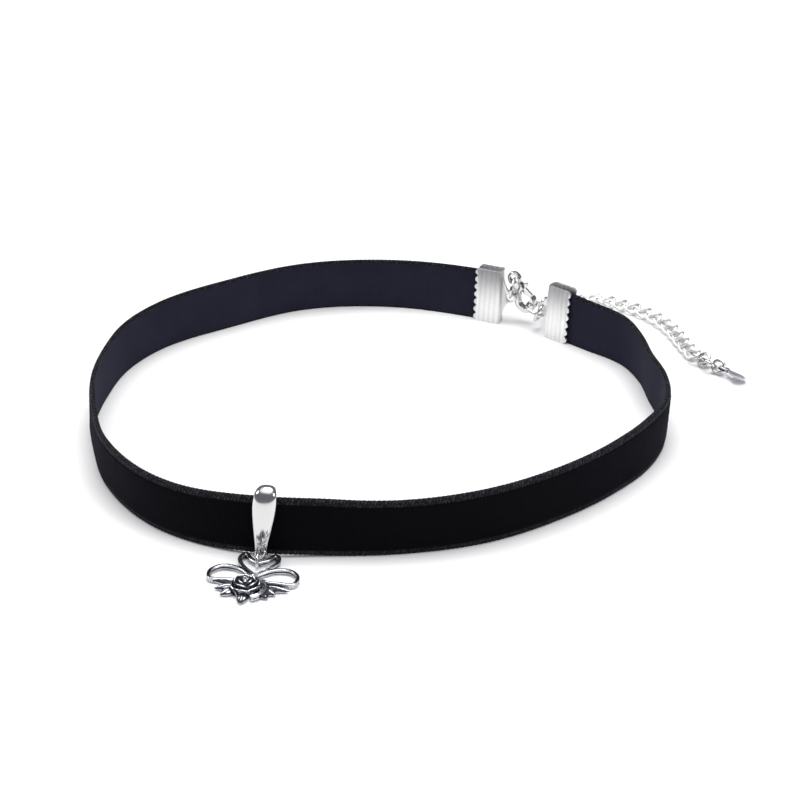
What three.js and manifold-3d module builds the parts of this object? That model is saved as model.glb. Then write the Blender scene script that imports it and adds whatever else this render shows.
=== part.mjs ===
// A velvet choker necklace, standing on the lower edge of its ribbon as it was laid down,
// with the pendant at the front (-Y), the open ends at the back (+Y) and +Z up. Millimetres.
import * as THREE from "three";
import { mergeVertices } from "three/addons/utils/BufferGeometryUtils.js";
import Module from "manifold-3d";

const wasm = await Module();
wasm.setup();

// Driving sizes of the ribbon and of the room that pieces keep from each other
const ribbonHeight = 10;
const ribbonThickness = 1;
const loopReach = 48.5;
const seatGap = 0.15;
const floorGap = 0.04;

// Driving sizes of the crimp plates at the ribbon's ends
const clampLength = 5.4;
const clampHeight = 10.6;
const clampSheet = 0.4;
const clampGap = 0.22;
const tabThickness = 0.5;
const tabReach = 2.75;
const tabWidth = 2.2;
const eyeBore = 1.4;

// Driving sizes of the bail and of the small ring under it
const bailSheet = 0.7;
const bailGap = 0.3;
const bailHeadroom = 1.1;
const bailTurn = 0.9;
const bailAskew = 0.8;
const bailFootSheet = 0.32;
const bailFootGap = 0.12;
const bailTopWidth = 3.4;
const bailWaist = 4;
const bailFootWidth = 2;
const bailSwell = 1.1;
const tongueReach = 1.1;
const tongueSheet = 0.5;
const tongueBore = 1.2;
const pendantRingReach = 1.06;
const fineWire = 0.5;

// Driving sizes of the rings, the chain and the clasp
const ringWire = 0.6;
const leftRingReach = 1.95;
const rightRingReach = 1.75;
const catchRingReach = 2.1;
const catchWire = 0.65;
const claspLength = 8.8;
const claspWidth = 4.6;
const claspThickness = 1.5;
const linkWire = 0.6;
const linkLength = 4.2;
const linkWidth = 3.4;
const linkTwist = 0.54;
const linkPitch = 2.8;
const chainRingReach = 1.4;
const endRingReach = 1.5;
const endLinkReach = 1.15;

// Driving sizes of the cast pendant and of the charm
const heartWidth = 7;
const heartLength = 6.4;
const bandWidth = 0.85;
const bandHeight = 1.2;
const wingReach = 6.3;
const roseReach = 2.35;
const roseHeight = 2.7;
const leafThickness = 0.75;
const charmLength = 6.4;
const charmWidth = 3.2;
const charmThickness = 1.1;
const charmEye = 1.15;
const charmRim = 0.35;

const roundSides = 14;
const wireSides = 6;
const degrees = Math.PI / 180;
const up = new THREE.Vector3(0, 0, 1);

const silver = { color: 0xc9c9cc, roughness: 0.18, metalness: 1 };
const darkSilver = { color: 0x8d9096, roughness: 0.32, metalness: 1 };
const velvet = { color: 0x0c0c12, roughness: 0.95, metalness: 0 };

function piece(name, geometry, finish) {
  const mesh = new THREE.Mesh(geometry, new THREE.MeshStandardMaterial(finish));
  mesh.name = name;
  return mesh;
}

// A closed solid through rings of points: open runs are capped, closed runs meet their first ring.
function loft(rings, closed = false) {
  const count = rings[0].length;
  const positions = rings.flatMap((ring) => ring.flatMap((point) => [point.x, point.y, point.z]));
  const index = [];
  const last = closed ? rings.length : rings.length - 1;
  for (let i = 0; i < last; i++) {
    const here = i * count;
    const next = ((i + 1) % rings.length) * count;
    for (let j = 0; j < count; j++) {
      const k = (j + 1) % count;
      index.push(here + j, here + k, next + k, here + j, next + k, next + j);
    }
  }
  if (!closed) {
    const end = (rings.length - 1) * count;
    for (let j = 1; j < count - 1; j++) {
      index.push(0, j + 1, j, end, end + j, end + j + 1);
    }
  }
  const geometry = new THREE.BufferGeometry();
  geometry.setAttribute("position", new THREE.Float32BufferAttribute(positions, 3));
  geometry.setIndex(index);
  return facingOut(geometry);
}

function volumeOf(geometry) {
  const position = geometry.getAttribute("position");
  const corner = (i) => new THREE.Vector3().fromBufferAttribute(position, geometry.index.getX(i));
  let volume = 0;
  for (let i = 0; i < geometry.index.count; i += 3) {
    volume += corner(i).dot(corner(i + 1).cross(corner(i + 2))) / 6;
  }
  return volume;
}

function facingOut(geometry) {
  if (volumeOf(geometry) < 0) {
    geometry.setIndex(Array.from(geometry.index.array).reverse());
  }
  return geometry;
}

// Joining and cutting of closed meshes
function toSolid(geometry) {
  const bare = geometry.clone();
  bare.deleteAttribute("normal");
  bare.deleteAttribute("uv");
  const merged = mergeVertices(bare, 1e-4);
  return new wasm.Manifold(new wasm.Mesh({
    numProp: 3,
    vertProperties: new Float32Array(merged.getAttribute("position").array),
    triVerts: new Uint32Array(merged.index.array),
  }));
}

function fromSolid(solid) {
  const mesh = solid.getMesh();
  const geometry = new THREE.BufferGeometry();
  geometry.setAttribute("position", new THREE.Float32BufferAttribute(mesh.vertProperties, 3));
  geometry.setIndex(Array.from(mesh.triVerts));
  return geometry;
}

function joined(geometries) {
  const [first, ...others] = geometries.map(toSolid);
  return fromSolid(others.reduce((whole, solid) => whole.add(solid), first));
}

function cut(geometry, tools) {
  const whole = toSolid(geometry);
  return fromSolid(tools.map(toSolid).reduce((rest, tool) => rest.subtract(tool), whole));
}

// A plate of even thickness, centred on the plane of its outline, with softened edges if asked
function plate(shape, thickness, bevel = 0, curveSegments = 8) {
  const geometry = new THREE.ExtrudeGeometry(shape, {
    depth: thickness - 2 * bevel,
    bevelEnabled: bevel > 0,
    bevelThickness: bevel,
    bevelSize: bevel,
    bevelOffset: -bevel,
    bevelSegments: 1,
    curveSegments,
  });
  return geometry.translate(0, 0, bevel - thickness / 2);
}

function shapeThrough(corners) {
  return new THREE.Shape(corners.map(([x, y]) => new THREE.Vector2(x, y)));
}

function disc(radius, thickness, x, y, bevel = 0) {
  const shape = new THREE.Shape();
  shape.absarc(x, y, radius, 0, 2 * Math.PI);
  return plate(shape, thickness, bevel, roundSides / 2);
}

// Turns a plate's own frame (outline in x and y, thickness along z) to stand in the plane of x and z
function standing(geometry) {
  return geometry.rotateX(90 * degrees);
}

// A wire bent round a closed path, which gives a point for each turn
function wireLoop(path, wire, steps) {
  const rings = [];
  for (let i = 0; i < steps; i++) {
    const turn = (i / steps) * 2 * Math.PI;
    const step = 1e-3;
    const tangent = path(turn + step).sub(path(turn - step)).normalize();
    const side = new THREE.Vector3().crossVectors(up, tangent).normalize();
    const rise = new THREE.Vector3().crossVectors(tangent, side);
    const ring = [];
    for (let j = 0; j < wireSides; j++) {
      const angle = ((j + 0.5) / wireSides) * 2 * Math.PI;
      const point = path(turn);
      point.addScaledVector(side, (Math.cos(angle) * wire) / 2);
      point.addScaledVector(rise, (Math.sin(angle) * wire) / 2);
      ring.push(point);
    }
    rings.push(ring);
  }
  return loft(rings, true);
}

function roundRing(reach, wire, steps = roundSides) {
  const path = (turn) => new THREE.Vector3(Math.cos(turn) * reach, Math.sin(turn) * reach, 0);
  return wireLoop(path, wire, steps);
}

function curbLink() {
  const length = (linkLength - linkWire) / 2;
  const width = (linkWidth - linkWire) / 2;
  const path = (turn) => new THREE.Vector3(
    Math.cos(turn) * length,
    Math.sin(turn) * width,
    Math.sin(2 * turn) * linkTwist,
  );
  return wireLoop(path, linkWire, 16);
}

// Puts a mesh at a place with its own x axis along one direction and its own z axis near another
function place(mesh, origin, along, rise) {
  const x = along.clone().normalize();
  const y = new THREE.Vector3().crossVectors(rise, x).normalize();
  const z = new THREE.Vector3().crossVectors(x, y);
  mesh.position.copy(origin);
  mesh.quaternion.setFromRotationMatrix(new THREE.Matrix4().makeBasis(x, y, z));
  return mesh;
}

// A ring that threads a point: its rim passes there and its centre lies towards a direction
function threadedRing(name, reach, wire, rim, towards, through) {
  const centre = rim.clone().addScaledVector(towards.clone().normalize(), reach);
  const normal = new THREE.Vector3().crossVectors(towards, through).normalize();
  return place(piece(name, roundRing(reach, wire), silver), centre, towards, normal);
}

// The ribbon's way round the table. Each row gives the turn round the loop in degrees from the
// pendant, the reach from the middle as a share of loopReach, and the top edge's lean outwards
// as a share of ribbonHeight.
const ribbonWay = [
  { turn: 0, reach: 1.066, lean: -0.073 },
  { turn: 12, reach: 1.007, lean: -0.049 },
  { turn: 26, reach: 0.979, lean: 0.027 },
  { turn: 42, reach: 0.971, lean: 0.013 },
  { turn: 60, reach: 0.966, lean: 0.019 },
  { turn: 76, reach: 0.989, lean: 0.006 },
  { turn: 88, reach: 1.021, lean: -0.002 },
  { turn: 98, reach: 1.035, lean: 0.057 },
  { turn: 108, reach: 1.029, lean: 0.001 },
  { turn: 118, reach: 1.008, lean: -0.055 },
  { turn: 127, reach: 1.015, lean: -0.061 },
  { turn: 136, reach: 1.009, lean: -0.005 },
  { turn: 146, reach: 0.957, lean: 0.061 },
  { turn: 156, reach: 0.932, lean: 0.092 },
  { turn: 166, reach: 0.918, lean: 0.105 },
  { turn: 182, reach: 0.906, lean: 0.101 },
  { turn: 202, reach: 0.933, lean: 0.006 },
  { turn: 222, reach: 0.964, lean: -0.039 },
  { turn: 242, reach: 0.97, lean: 0.005 },
  { turn: 260, reach: 1.038, lean: -0.044 },
  { turn: 272, reach: 1.063, lean: -0.047 },
  { turn: 284, reach: 1.065, lean: -0.053 },
  { turn: 296, reach: 1.078, lean: -0.063 },
  { turn: 308, reach: 1.079, lean: -0.01 },
  { turn: 322, reach: 1.105, lean: 0.052 },
  { turn: 340, reach: 1.117, lean: 0.025 },
];

// A smooth value between the rows, with the last row leading back to the first
function alongWay(key, turn) {
  const count = ribbonWay.length;
  const wrapped = ((turn % 360) + 360) % 360;
  let i = count - 1;
  while (ribbonWay[i].turn > wrapped) {
    i -= 1;
  }
  const row = (n) => ribbonWay[(n + count) % count];
  const at = (n) => row(n).turn + 360 * Math.floor(n / count);
  const slope = (n) => (row(n + 1)[key] - row(n - 1)[key]) / (at(n + 1) - at(n - 1));
  const span = at(i + 1) - at(i);
  const t = (wrapped - at(i)) / span;
  return row(i)[key] * (1 + 2 * t) * (1 - t) ** 2 + slope(i) * span * t * (1 - t) ** 2
    + row(i + 1)[key] * t * t * (3 - 2 * t) - slope(i + 1) * span * t * t * (1 - t);
}

function wayPoint(turn) {
  const reach = loopReach * alongWay("reach", turn);
  return new THREE.Vector3(Math.sin(turn * degrees) * reach, -Math.cos(turn * degrees) * reach, 0);
}

function wayTangent(turn) {
  return wayPoint(turn + 0.1).sub(wayPoint(turn - 0.1)).normalize();
}

function wayOut(turn) {
  return new THREE.Vector3().crossVectors(wayTangent(turn), up);
}

// The gap between the crimp plates is what the slack clasp needs, and the ribbon ends follow it
const gapTurn = 164.8;
const eyeInset = tabReach - tabWidth / 2;
const gapLength = 2 * eyeInset + claspLength * 0.8;
const clampBite = clampLength - clampSheet - seatGap;
const wayLengthPerDegree = wayPoint(gapTurn).length() * degrees;
const halfGapTurn = (gapLength / 2 + clampLength - clampBite) / wayLengthPerDegree;
const rightEndTurn = gapTurn - halfGapTurn;
const leftEndTurn = gapTurn + halfGapTurn;

// The bail lifts the ribbon where its foot passes under the lower edge
const bailLift = floorGap + bailFootSheet + bailFootGap;
const liftSpread = 17;

function ribbonLift(turn) {
  const fromBail = wayPoint(turn).distanceTo(wayPoint(bailTurn));
  return fromBail < liftSpread ? bailLift * Math.cos((fromBail / liftSpread) * 90 * degrees) ** 2 : 0;
}

function ribbonSection(turn) {
  const out = wayOut(turn);
  const lean = alongWay("lean", turn) * ribbonHeight;
  const base = wayPoint(turn).addScaledVector(up, ribbonLift(turn));
  const corner = (side, height) => base.clone()
    .addScaledVector(out, (side * ribbonThickness) / 2 + (lean * height) / ribbonHeight)
    .addScaledVector(up, height);
  return [corner(-1, 0), corner(1, 0), corner(1, ribbonHeight), corner(-1, ribbonHeight)];
}

function ribbon() {
  const steps = 132;
  const rings = [];
  for (let i = 0; i <= steps; i++) {
    rings.push(ribbonSection(leftEndTurn - 360 + ((rightEndTurn + 360 - leftEndTurn) * i) / steps));
  }
  return piece("ribbon", loft(rings), velvet);
}

// Crimp plate: a sheet folded round the ribbon's end, ribbed on both faces, with teeth that bite
// the cloth and a tab with an eye. Its own x runs to the gap, y out of the loop and z up.
const clampSlot = ribbonThickness / 2 + clampGap;
const clampOuter = clampSlot + clampSheet;
const ribRelief = 0.12;
const ribCount = 4;
const toothCount = 7;
const toothDepth = 0.55;

function clampFold() {
  const face = [];
  const ribStep = clampLength / (ribCount + 0.5);
  for (let i = 0; i < ribCount; i++) {
    const start = -clampLength + ribStep * (i + 0.5);
    face.push([start, clampOuter], [start + ribStep * 0.25, clampOuter + ribRelief]);
    face.push([start + ribStep * 0.6, clampOuter + ribRelief], [start + ribStep * 0.85, clampOuter]);
  }
  const foldCorner = clampSheet;
  const outside = [[-clampLength, clampOuter], ...face, [-foldCorner, clampOuter], [0, clampOuter - foldCorner]];
  const inside = [[-clampSheet, clampSlot], [-clampLength, clampSlot]];
  const mirrored = (points) => points.map(([x, y]) => [x, -y]).reverse();
  const outline = [...outside, ...mirrored(outside), ...mirrored(inside), ...inside];
  return plate(shapeThrough(outline), clampHeight).translate(0, 0, clampHeight / 2);
}

function clampTeeth() {
  const pitch = clampHeight / toothCount;
  const notches = [];
  for (let i = 0; i <= toothCount; i++) {
    const z = i * pitch;
    const notch = shapeThrough([
      [-clampLength - 1, z - pitch],
      [-clampLength + toothDepth, z],
      [-clampLength - 1, z + pitch],
    ]);
    notches.push(standing(plate(notch, 4 * clampOuter)));
  }
  return notches;
}

function clampTab() {
  const middle = clampHeight / 2;
  const half = tabWidth / 2;
  const shape = new THREE.Shape();
  shape.moveTo(-clampSheet, middle - clampHeight * 0.38);
  shape.lineTo(0, middle - clampHeight * 0.38);
  shape.quadraticCurveTo(eyeInset * 0.45, middle - half * 1.1, eyeInset, middle - half);
  shape.absarc(eyeInset, middle, half, -90 * degrees, 90 * degrees);
  shape.quadraticCurveTo(eyeInset * 0.45, middle + half * 1.1, 0, middle + clampHeight * 0.38);
  shape.lineTo(-clampSheet, middle + clampHeight * 0.38);
  const hole = new THREE.Path();
  hole.absarc(eyeInset, middle, eyeBore / 2, 0, 2 * Math.PI, true);
  shape.holes.push(hole);
  return standing(plate(shape, tabThickness, 0, 6));
}

// The frame of a ribbon end: where the fold of its crimp plate stands and which way the gap lies
function endFrame(turn, towardsGap) {
  const along = wayTangent(turn).multiplyScalar(towardsGap);
  const origin = wayPoint(turn).addScaledVector(along, clampLength - clampBite);
  const middleTurn = turn - (towardsGap * clampBite) / 2 / wayLengthPerDegree;
  return { along: wayTangent(middleTurn).multiplyScalar(towardsGap), origin, turn };
}

function clamp(name, frame) {
  const lean = alongWay("lean", frame.turn) * Math.sign(frame.along.dot(wayTangent(frame.turn)));
  const shear = new THREE.Matrix4().makeShear(0, 0, 0, 0, 0, -lean);
  const geometry = joined([cut(clampFold(), clampTeeth()), clampTab()]).applyMatrix4(shear);
  return place(piece(name, geometry, silver), frame.origin, frame.along, up);
}

const rightFrame = endFrame(rightEndTurn, 1);
const leftFrame = endFrame(leftEndTurn, -1);

function eyePoint(frame) {
  const lean = alongWay("lean", frame.turn) * (clampHeight / 2);
  return frame.origin.clone()
    .addScaledVector(frame.along, eyeInset)
    .addScaledVector(wayOut(frame.turn), lean)
    .addScaledVector(up, clampHeight / 2);
}

// Directions across the open gap: from the left eye to the right one, out of the loop, and up
const leftEye = eyePoint(leftFrame);
const rightEye = eyePoint(rightFrame);
const across = rightEye.clone().sub(leftEye).setZ(0).normalize();
const outwards = new THREE.Vector3().crossVectors(up, across);

function gapWay(right, out, rise) {
  return new THREE.Vector3()
    .addScaledVector(across, right)
    .addScaledVector(outwards, out)
    .addScaledVector(up, rise);
}

// Lobster clasp, in its own frame: x from the eye to the hook's far end, y to the lever, z thickness
const claspEyeRim = 0.6;
const claspEyeBore = 1.8;
const claspEye = claspEyeBore / 2 + claspEyeRim;
const hookOuter = claspWidth / 2;
const hookMetal = 1;
const hookInner = hookOuter - hookMetal;
const hookCentre = claspLength - claspEye - hookOuter;
const pivotX = claspEye + 0.55;
const pivotY = 0.62;
const leverSlot = 0.75;
const pinRadius = 0.22;
const leverEnd = hookCentre - 0.1;
const tipSlant = 0.66;

// The outline that wraps a small circle at the neck and a large one at the hook
function tearShape(smallX, smallRadius, largeX, largeRadius) {
  const slant = Math.asin((largeRadius - smallRadius) / (largeX - smallX));
  const shape = new THREE.Shape();
  shape.absarc(smallX, 0, smallRadius, 90 * degrees + slant, 270 * degrees - slant);
  shape.absarc(largeX, 0, largeRadius, -90 * degrees - slant, 90 * degrees + slant);
  return shape;
}

// The side of the clasp that the lever fills, grown by a margin
function leverSide(margin) {
  return shapeThrough([
    [pivotX - 0.1, pivotY - 0.05],
    [pivotX + 0.75, pivotY - 0.2 - margin],
    [leverEnd + margin, hookInner * 0.55 - margin],
    [leverEnd + margin - tipSlant, hookOuter],
    [leverEnd + margin - tipSlant, claspWidth],
    [pivotX - 0.1, claspWidth],
  ]);
}

function claspBody() {
  const outside = plate(tearShape(claspEye * 0.9, 0.95, hookCentre, hookOuter), claspThickness, 0.2);
  const opening = plate(tearShape(pivotX + 1.25, 0.32, hookCentre, hookInner), 2 * claspThickness);
  const eye = disc(claspEye, claspThickness * 0.6, 0, 0, 0.15);
  const bore = disc(claspEyeBore / 2, 2 * claspThickness, 0, 0);
  const gate = plate(leverSide(seatGap), 2 * claspThickness);
  const cheeks = disc(0.62, claspThickness, pivotX, pivotY, 0.1);
  const slot = plate(shapeThrough([
    [pivotX - 0.62 - seatGap, pivotY - 0.62 - seatGap],
    [leverEnd, pivotY - 0.62 - seatGap],
    [leverEnd - tipSlant, hookOuter],
    [leverEnd - tipSlant, claspWidth],
    [pivotX - 0.62 - seatGap, claspWidth],
  ]), leverSlot);
  const pin = disc(pinRadius, claspThickness * 0.8, pivotX, pivotY);
  const shell = cut(joined([cut(joined([outside, eye]), [gate]), cheeks]), [opening, bore, slot]);
  return joined([shell, pin]);
}

function claspLever() {
  const outside = plate(tearShape(claspEye * 0.9, 0.95, hookCentre, hookOuter), leverSlot - 2 * seatGap);
  const opening = plate(tearShape(pivotX + 1.25, 0.32, hookCentre, hookInner), 2 * claspThickness);
  const keep = toSolid(plate(leverSide(0), 2 * claspThickness));
  const arm = fromSolid(toSolid(cut(outside, [opening])).intersect(keep));
  const knuckle = disc(0.55, leverSlot - 2 * seatGap, pivotX, pivotY);
  const thumb = plate(shapeThrough([
    [pivotX - 0.3, pivotY + 0.2],
    [pivotX + 0.5, pivotY + 0.1],
    [pivotX + 0.35, pivotY + 1.5],
    [pivotX - 0.15, pivotY + 1.75],
    [pivotX - 0.45, pivotY + 1.5],
  ]), leverSlot - 2 * seatGap);
  return cut(joined([arm, knuckle, thumb]), [disc(pinRadius + seatGap, claspThickness, pivotX, pivotY)]);
}

// The clasp hangs behind the gap: its eye on the left ring, its hook end low and to the right
const claspLean = 32 * degrees;
const claspOut = 1.6;
const leftRingTilt = Math.asin(claspOut / (2 * leftRingReach));
const leftRingTowards = gapWay(0, Math.sin(leftRingTilt), Math.cos(leftRingTilt));
const claspEyeAt = leftEye.clone().addScaledVector(leftRingTowards, 2 * leftRingReach)
  .add(gapWay(-0.08, 0, -0.08));
const claspAlong = gapWay(Math.sin(claspLean), 0, -Math.cos(claspLean));
const claspSide = gapWay(Math.cos(claspLean), 0, Math.sin(claspLean));
const claspNormal = new THREE.Vector3().crossVectors(claspAlong, claspSide);

function claspPoint(alongClasp, toSide) {
  return claspEyeAt.clone().addScaledVector(claspAlong, alongClasp).addScaledVector(claspSide, toSide);
}

// The catch ring lies round the hook, and the right ring hangs from the right eye through it
const hookAngle = 40 * degrees;
const hookWay = claspAlong.clone().multiplyScalar(Math.cos(hookAngle))
  .addScaledVector(claspSide, Math.sin(hookAngle));
const catchBow = claspThickness ** 2 / (8 * catchRingReach);
const catchInside = hookInner - catchWire / 2 - catchBow - seatGap;
const catchRim = claspPoint(
  hookCentre + Math.cos(hookAngle) * catchInside,
  Math.sin(hookAngle) * catchInside,
);

function hardware() {
  const leftRing = threadedRing("left_ring", leftRingReach, ringWire, leftEye,
    leftRingTowards, gapWay(-0.34, 0.94, 0));
  const body = place(piece("clasp_body", claspBody(), silver), claspEyeAt, claspAlong, claspNormal);
  const lever = place(piece("clasp_lever", claspLever(), silver), claspEyeAt, claspAlong, claspNormal);
  const catchRing = threadedRing("catch_ring", catchRingReach, catchWire, catchRim, hookWay, outwards);
  const rightRing = threadedRing("right_ring", rightRingReach, ringWire, rightEye,
    gapWay(-0.35, 0.2, -0.9), outwards);
  return [leftRing, body, lever, catchRing, rightRing];
}

// The extension chain's way over the table, round behind the right crimp plate. The points are
// chosen by eye. Each row gives how far to the right and to the back of the small ring's free end
// it lies, in link pitches, and how high, as a share of the height of a link that lies flat.
const chainFlat = linkTwist + linkWire / 2 + floorGap;
const chainWay = [
  { right: 0.47, back: 1.65, rise: 1.42 },
  { right: 1, back: 2.86, rise: 1 },
  { right: 2.1, back: 3.68, rise: 1 },
  { right: 3.25, back: 3.76, rise: 1 },
  { right: 4.42, back: 3.56, rise: 1 },
  { right: 5.67, back: 3.24, rise: 1 },
  { right: 6.85, back: 2.67, rise: 1 },
  { right: 7.89, back: 1.92, rise: 1 },
  { right: 8.78, back: 1.06, rise: 1 },
  { right: 9.53, back: 0.1, rise: 1 },
  { right: 10.24, back: -0.86, rise: 1 },
  { right: 10.96, back: -1.76, rise: 1 },
  { right: 11.54, back: -2.45, rise: 1 },
];

// How deep a ring's wire sits inside the next one, and the small ring that holds the chain
const nest = (wire, otherWire) => (wire + otherWire) / 2 + seatGap;
const catchSide = catchRim.clone()
  .addScaledVector(hookWay, catchRingReach)
  .addScaledVector(outwards, catchRingReach);
const chainRingAway = gapWay(0.12, 0.9, -0.42).normalize();
const chainRingRim = catchSide.clone().addScaledVector(chainRingAway, -nest(ringWire, catchWire));
const chainEnd = (linkLength - linkWire) / 2;
const firstLinkEnd = chainRingRim.clone()
  .addScaledVector(chainRingAway, 2 * chainRingReach - nest(ringWire, linkWire));

function chain() {
  const chosen = chainWay.map((row) => new THREE.Vector3(row.right, row.back, 0)
    .multiplyScalar(linkPitch)
    .add(firstLinkEnd)
    .setZ(row.rise * chainFlat));
  const ahead = chosen[0].clone().sub(firstLinkEnd).normalize();
  const start = firstLinkEnd.clone().addScaledVector(ahead, chainEnd - linkPitch / 2);
  const curve = new THREE.CatmullRomCurve3([start, ...chosen]);
  const length = curve.getLength();
  const at = (distance) => curve.getPointAt(Math.min(Math.max(distance / length, 0), 1));
  const links = [];
  for (let i = 0; i < Math.floor(length / linkPitch); i++) {
    const middle = (i + 0.5) * linkPitch;
    const along = at(middle + linkPitch / 2).sub(at(middle - linkPitch / 2));
    const name = `link_${String(i + 1).padStart(2, "0")}`;
    links.push(place(piece(name, curbLink(), silver), at(middle), along, up));
  }
  const ring = threadedRing("chain_ring", chainRingReach, ringWire, chainRingRim, chainRingAway, up);
  return [ring, ...links, ...chainTail(links.at(-1))];
}

// What ends the chain, each row a ring: its reach, the way it runs over the table in degrees from
// +X, how steeply it climbs, and how far it is rolled from lying flat
const tailRings = [
  { name: "end_ring", reach: endRingReach, heading: -50, climb: 14, roll: -34 },
  { name: "end_link", reach: endLinkReach, heading: -22, climb: 2, roll: 48 },
  { name: "charm_ring", reach: endRingReach, heading: -40, climb: 0, roll: -36 },
  { name: "charm_link", reach: endLinkReach, heading: -10, climb: 0, roll: 54 },
];

function chainTail(lastLink) {
  const lastWay = new THREE.Vector3(1, 0, 0).applyQuaternion(lastLink.quaternion);
  const rim = lastLink.position.clone().addScaledVector(lastWay, chainEnd - nest(linkWire, ringWire));
  const pieces = [];
  for (const row of tailRings) {
    const run = new THREE.Vector3(Math.cos(row.heading * degrees), Math.sin(row.heading * degrees), 0);
    const towards = run.multiplyScalar(Math.cos(row.climb * degrees))
      .addScaledVector(up, Math.sin(row.climb * degrees));
    const level = new THREE.Vector3().crossVectors(up, towards).normalize();
    const through = level.applyAxisAngle(towards, row.roll * degrees);
    pieces.push(threadedRing(row.name, row.reach, ringWire, rim, towards, through));
    rim.addScaledVector(towards, 2 * row.reach - nest(ringWire, ringWire));
  }
  pieces.push(charm(rim));
  return pieces;
}

// A small flat drop with a raised rib, its eye on the last ring and its side edge on the table
function charm(rim) {
  const eye = disc(charmEye, charmThickness * 0.7, 0, 0, 0.1);
  const bore = disc(charmEye - charmRim, charmThickness * 2, 0, 0);
  const sections = [
    { along: 0.02, width: 0.28 },
    { along: 0.3, width: 0.6 },
    { along: 0.55, width: 0.95 },
    { along: 0.72, width: 1 },
    { along: 0.9, width: 0.62 },
    { along: 1, width: 0.12 },
  ];
  const drop = loft(sections.map((row) => {
    const half = (row.width * charmWidth) / 2;
    const thick = (charmThickness / 2) * (0.5 + 0.5 * row.width);
    const x = charmEye - charmRim + 0.05 + row.along * (charmLength - 2 * charmEye);
    const at = (side, rise) => new THREE.Vector3(x, side * half, rise * thick);
    return [at(-1, -0.25), at(-0.4, -0.8), at(0.4, -0.8), at(1, -0.25),
      at(1, 0.25), at(0.5, 0.7), at(0, 1), at(-0.5, 0.7), at(-1, 0.25)];
  }));
  const heading = -24 * degrees;
  const along = new THREE.Vector3(Math.cos(heading), Math.sin(heading), -0.1).normalize();
  const lying = new THREE.Vector3(0, 0, 1).applyAxisAngle(along, -22 * degrees);
  const origin = rim.clone().addScaledVector(along, charmEye - charmRim / 2);
  return place(piece("charm", cut(joined([eye, drop]), [bore]), darkSilver), origin, along, lying);
}

// Bail: one strip folded round the ribbon, seen from the side as a closed loop. Its own frame has
// x along the ribbon, y towards the wearer's front and z up, at the ribbon's lower edge.
const bailInner = ribbonThickness / 2 + bailGap;
const bailSide = bailInner + bailSheet / 2;
const bailTop = bailLift + ribbonHeight + bailHeadroom + bailSheet / 2;

// The foot of the strip ends in a tongue that lies just over the heart's notch
const tongueHeight = bandHeight + 2 * seatGap + tongueSheet / 2;
const tongueRoot = bailSide + 0.5;
const tongueHole = tongueRoot + bailSheet / 2 + tongueReach * 0.5;
const underHeight = floorGap + bailFootSheet / 2;

function bailStrip() {
  // Each row: how far forward and how high the strip's middle lies, its width, its crown and, where
  // it passes under the ribbon, its own thinner sheet
  const rows = [
    { front: tongueRoot, height: tongueHeight, width: bailFootWidth, crown: 0.2 },
    { front: tongueRoot - 0.02, height: tongueHeight + bailTop * 0.06, width: bailFootWidth, crown: 0.3 },
    { front: bailSide + 0.58, height: bailTop * 0.34, width: bailFootWidth * 1.3, crown: 0.35 },
    { front: bailSide + 0.45, height: bailTop * 0.54, width: bailWaist * 0.86, crown: 0.45 },
    { front: bailSide + 0.3, height: bailTop * 0.74, width: bailWaist, crown: 0.45 },
    { front: bailSide + 0.12, height: bailTop * 0.89, width: bailWaist * 0.96, crown: 0.35 },
    { front: bailSide * 0.66, height: bailTop * 0.985, width: bailTopWidth, crown: 0.2 },
    { front: -bailSide * 0.1, height: bailTop, width: bailTopWidth, crown: 0.15 },
    { front: -bailSide * 0.85, height: bailTop * 0.975, width: bailTopWidth * 0.95, crown: 0.1 },
    { front: -bailSide, height: bailTop * 0.9, width: bailTopWidth * 0.85, crown: 0.05 },
    { front: -bailSide, height: bailTop * 0.5, width: bailFootWidth * 1.2, crown: 0.05 },
    { front: -bailSide, height: bailTop * 0.1, width: bailFootWidth, crown: 0.05 },
    { front: -bailSide * 0.7, height: underHeight, width: bailFootWidth, crown: 0, sheet: bailFootSheet },
    { front: bailSide * 0.7, height: underHeight, width: bailFootWidth, crown: 0, sheet: bailFootSheet },
    { front: bailSide + 0.35, height: tongueHeight * 0.5, width: bailFootWidth, crown: 0 },
  ];
  const rings = rows.map((row, i) => {
    const before = rows[(i + rows.length - 1) % rows.length];
    const after = rows[(i + 1) % rows.length];
    const forward = new THREE.Vector2(after.front - before.front, after.height - before.height).normalize();
    const face = new THREE.Vector2(forward.y, -forward.x);
    const at = (side, depth) => new THREE.Vector3(
      (side * row.width) / 2,
      row.front + face.x * depth,
      row.height + face.y * depth,
    );
    const half = (row.sheet ?? bailSheet) / 2;
    const swell = row.crown * bailSwell;
    return [at(-1, -half), at(1, -half), at(1, half * 0.4), at(0.62, half + swell * 0.75),
      at(0, half + swell), at(-0.62, half + swell * 0.75), at(-1, half * 0.4)];
  });
  return loft(rings, true);
}

function bail() {
  const shape = new THREE.Shape();
  const half = tongueBore / 2 + 0.35;
  shape.moveTo(-half, tongueRoot - bailSheet / 2);
  shape.lineTo(half, tongueRoot - bailSheet / 2);
  shape.lineTo(half, tongueHole);
  shape.absarc(0, tongueHole, half, 0, Math.PI);
  const tongue = plate(shape, tongueSheet, 0, 6).translate(bailAskew, 0, tongueHeight);
  const bore = disc(tongueBore / 2, 2 * tongueSheet, bailAskew, tongueHole).translate(0, 0, tongueHeight);
  const lean = alongWay("lean", bailTurn);
  const slant = bailAskew / (bailTop - tongueHeight);
  const strip = bailStrip()
    .applyMatrix4(new THREE.Matrix4().makeShear(0, 0, 0, 0, -slant, lean))
    .translate(slant * bailTop, -lean * tongueHeight, 0);
  return piece("bail", cut(joined([strip, tongue]), [bore]), silver);
}

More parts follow.
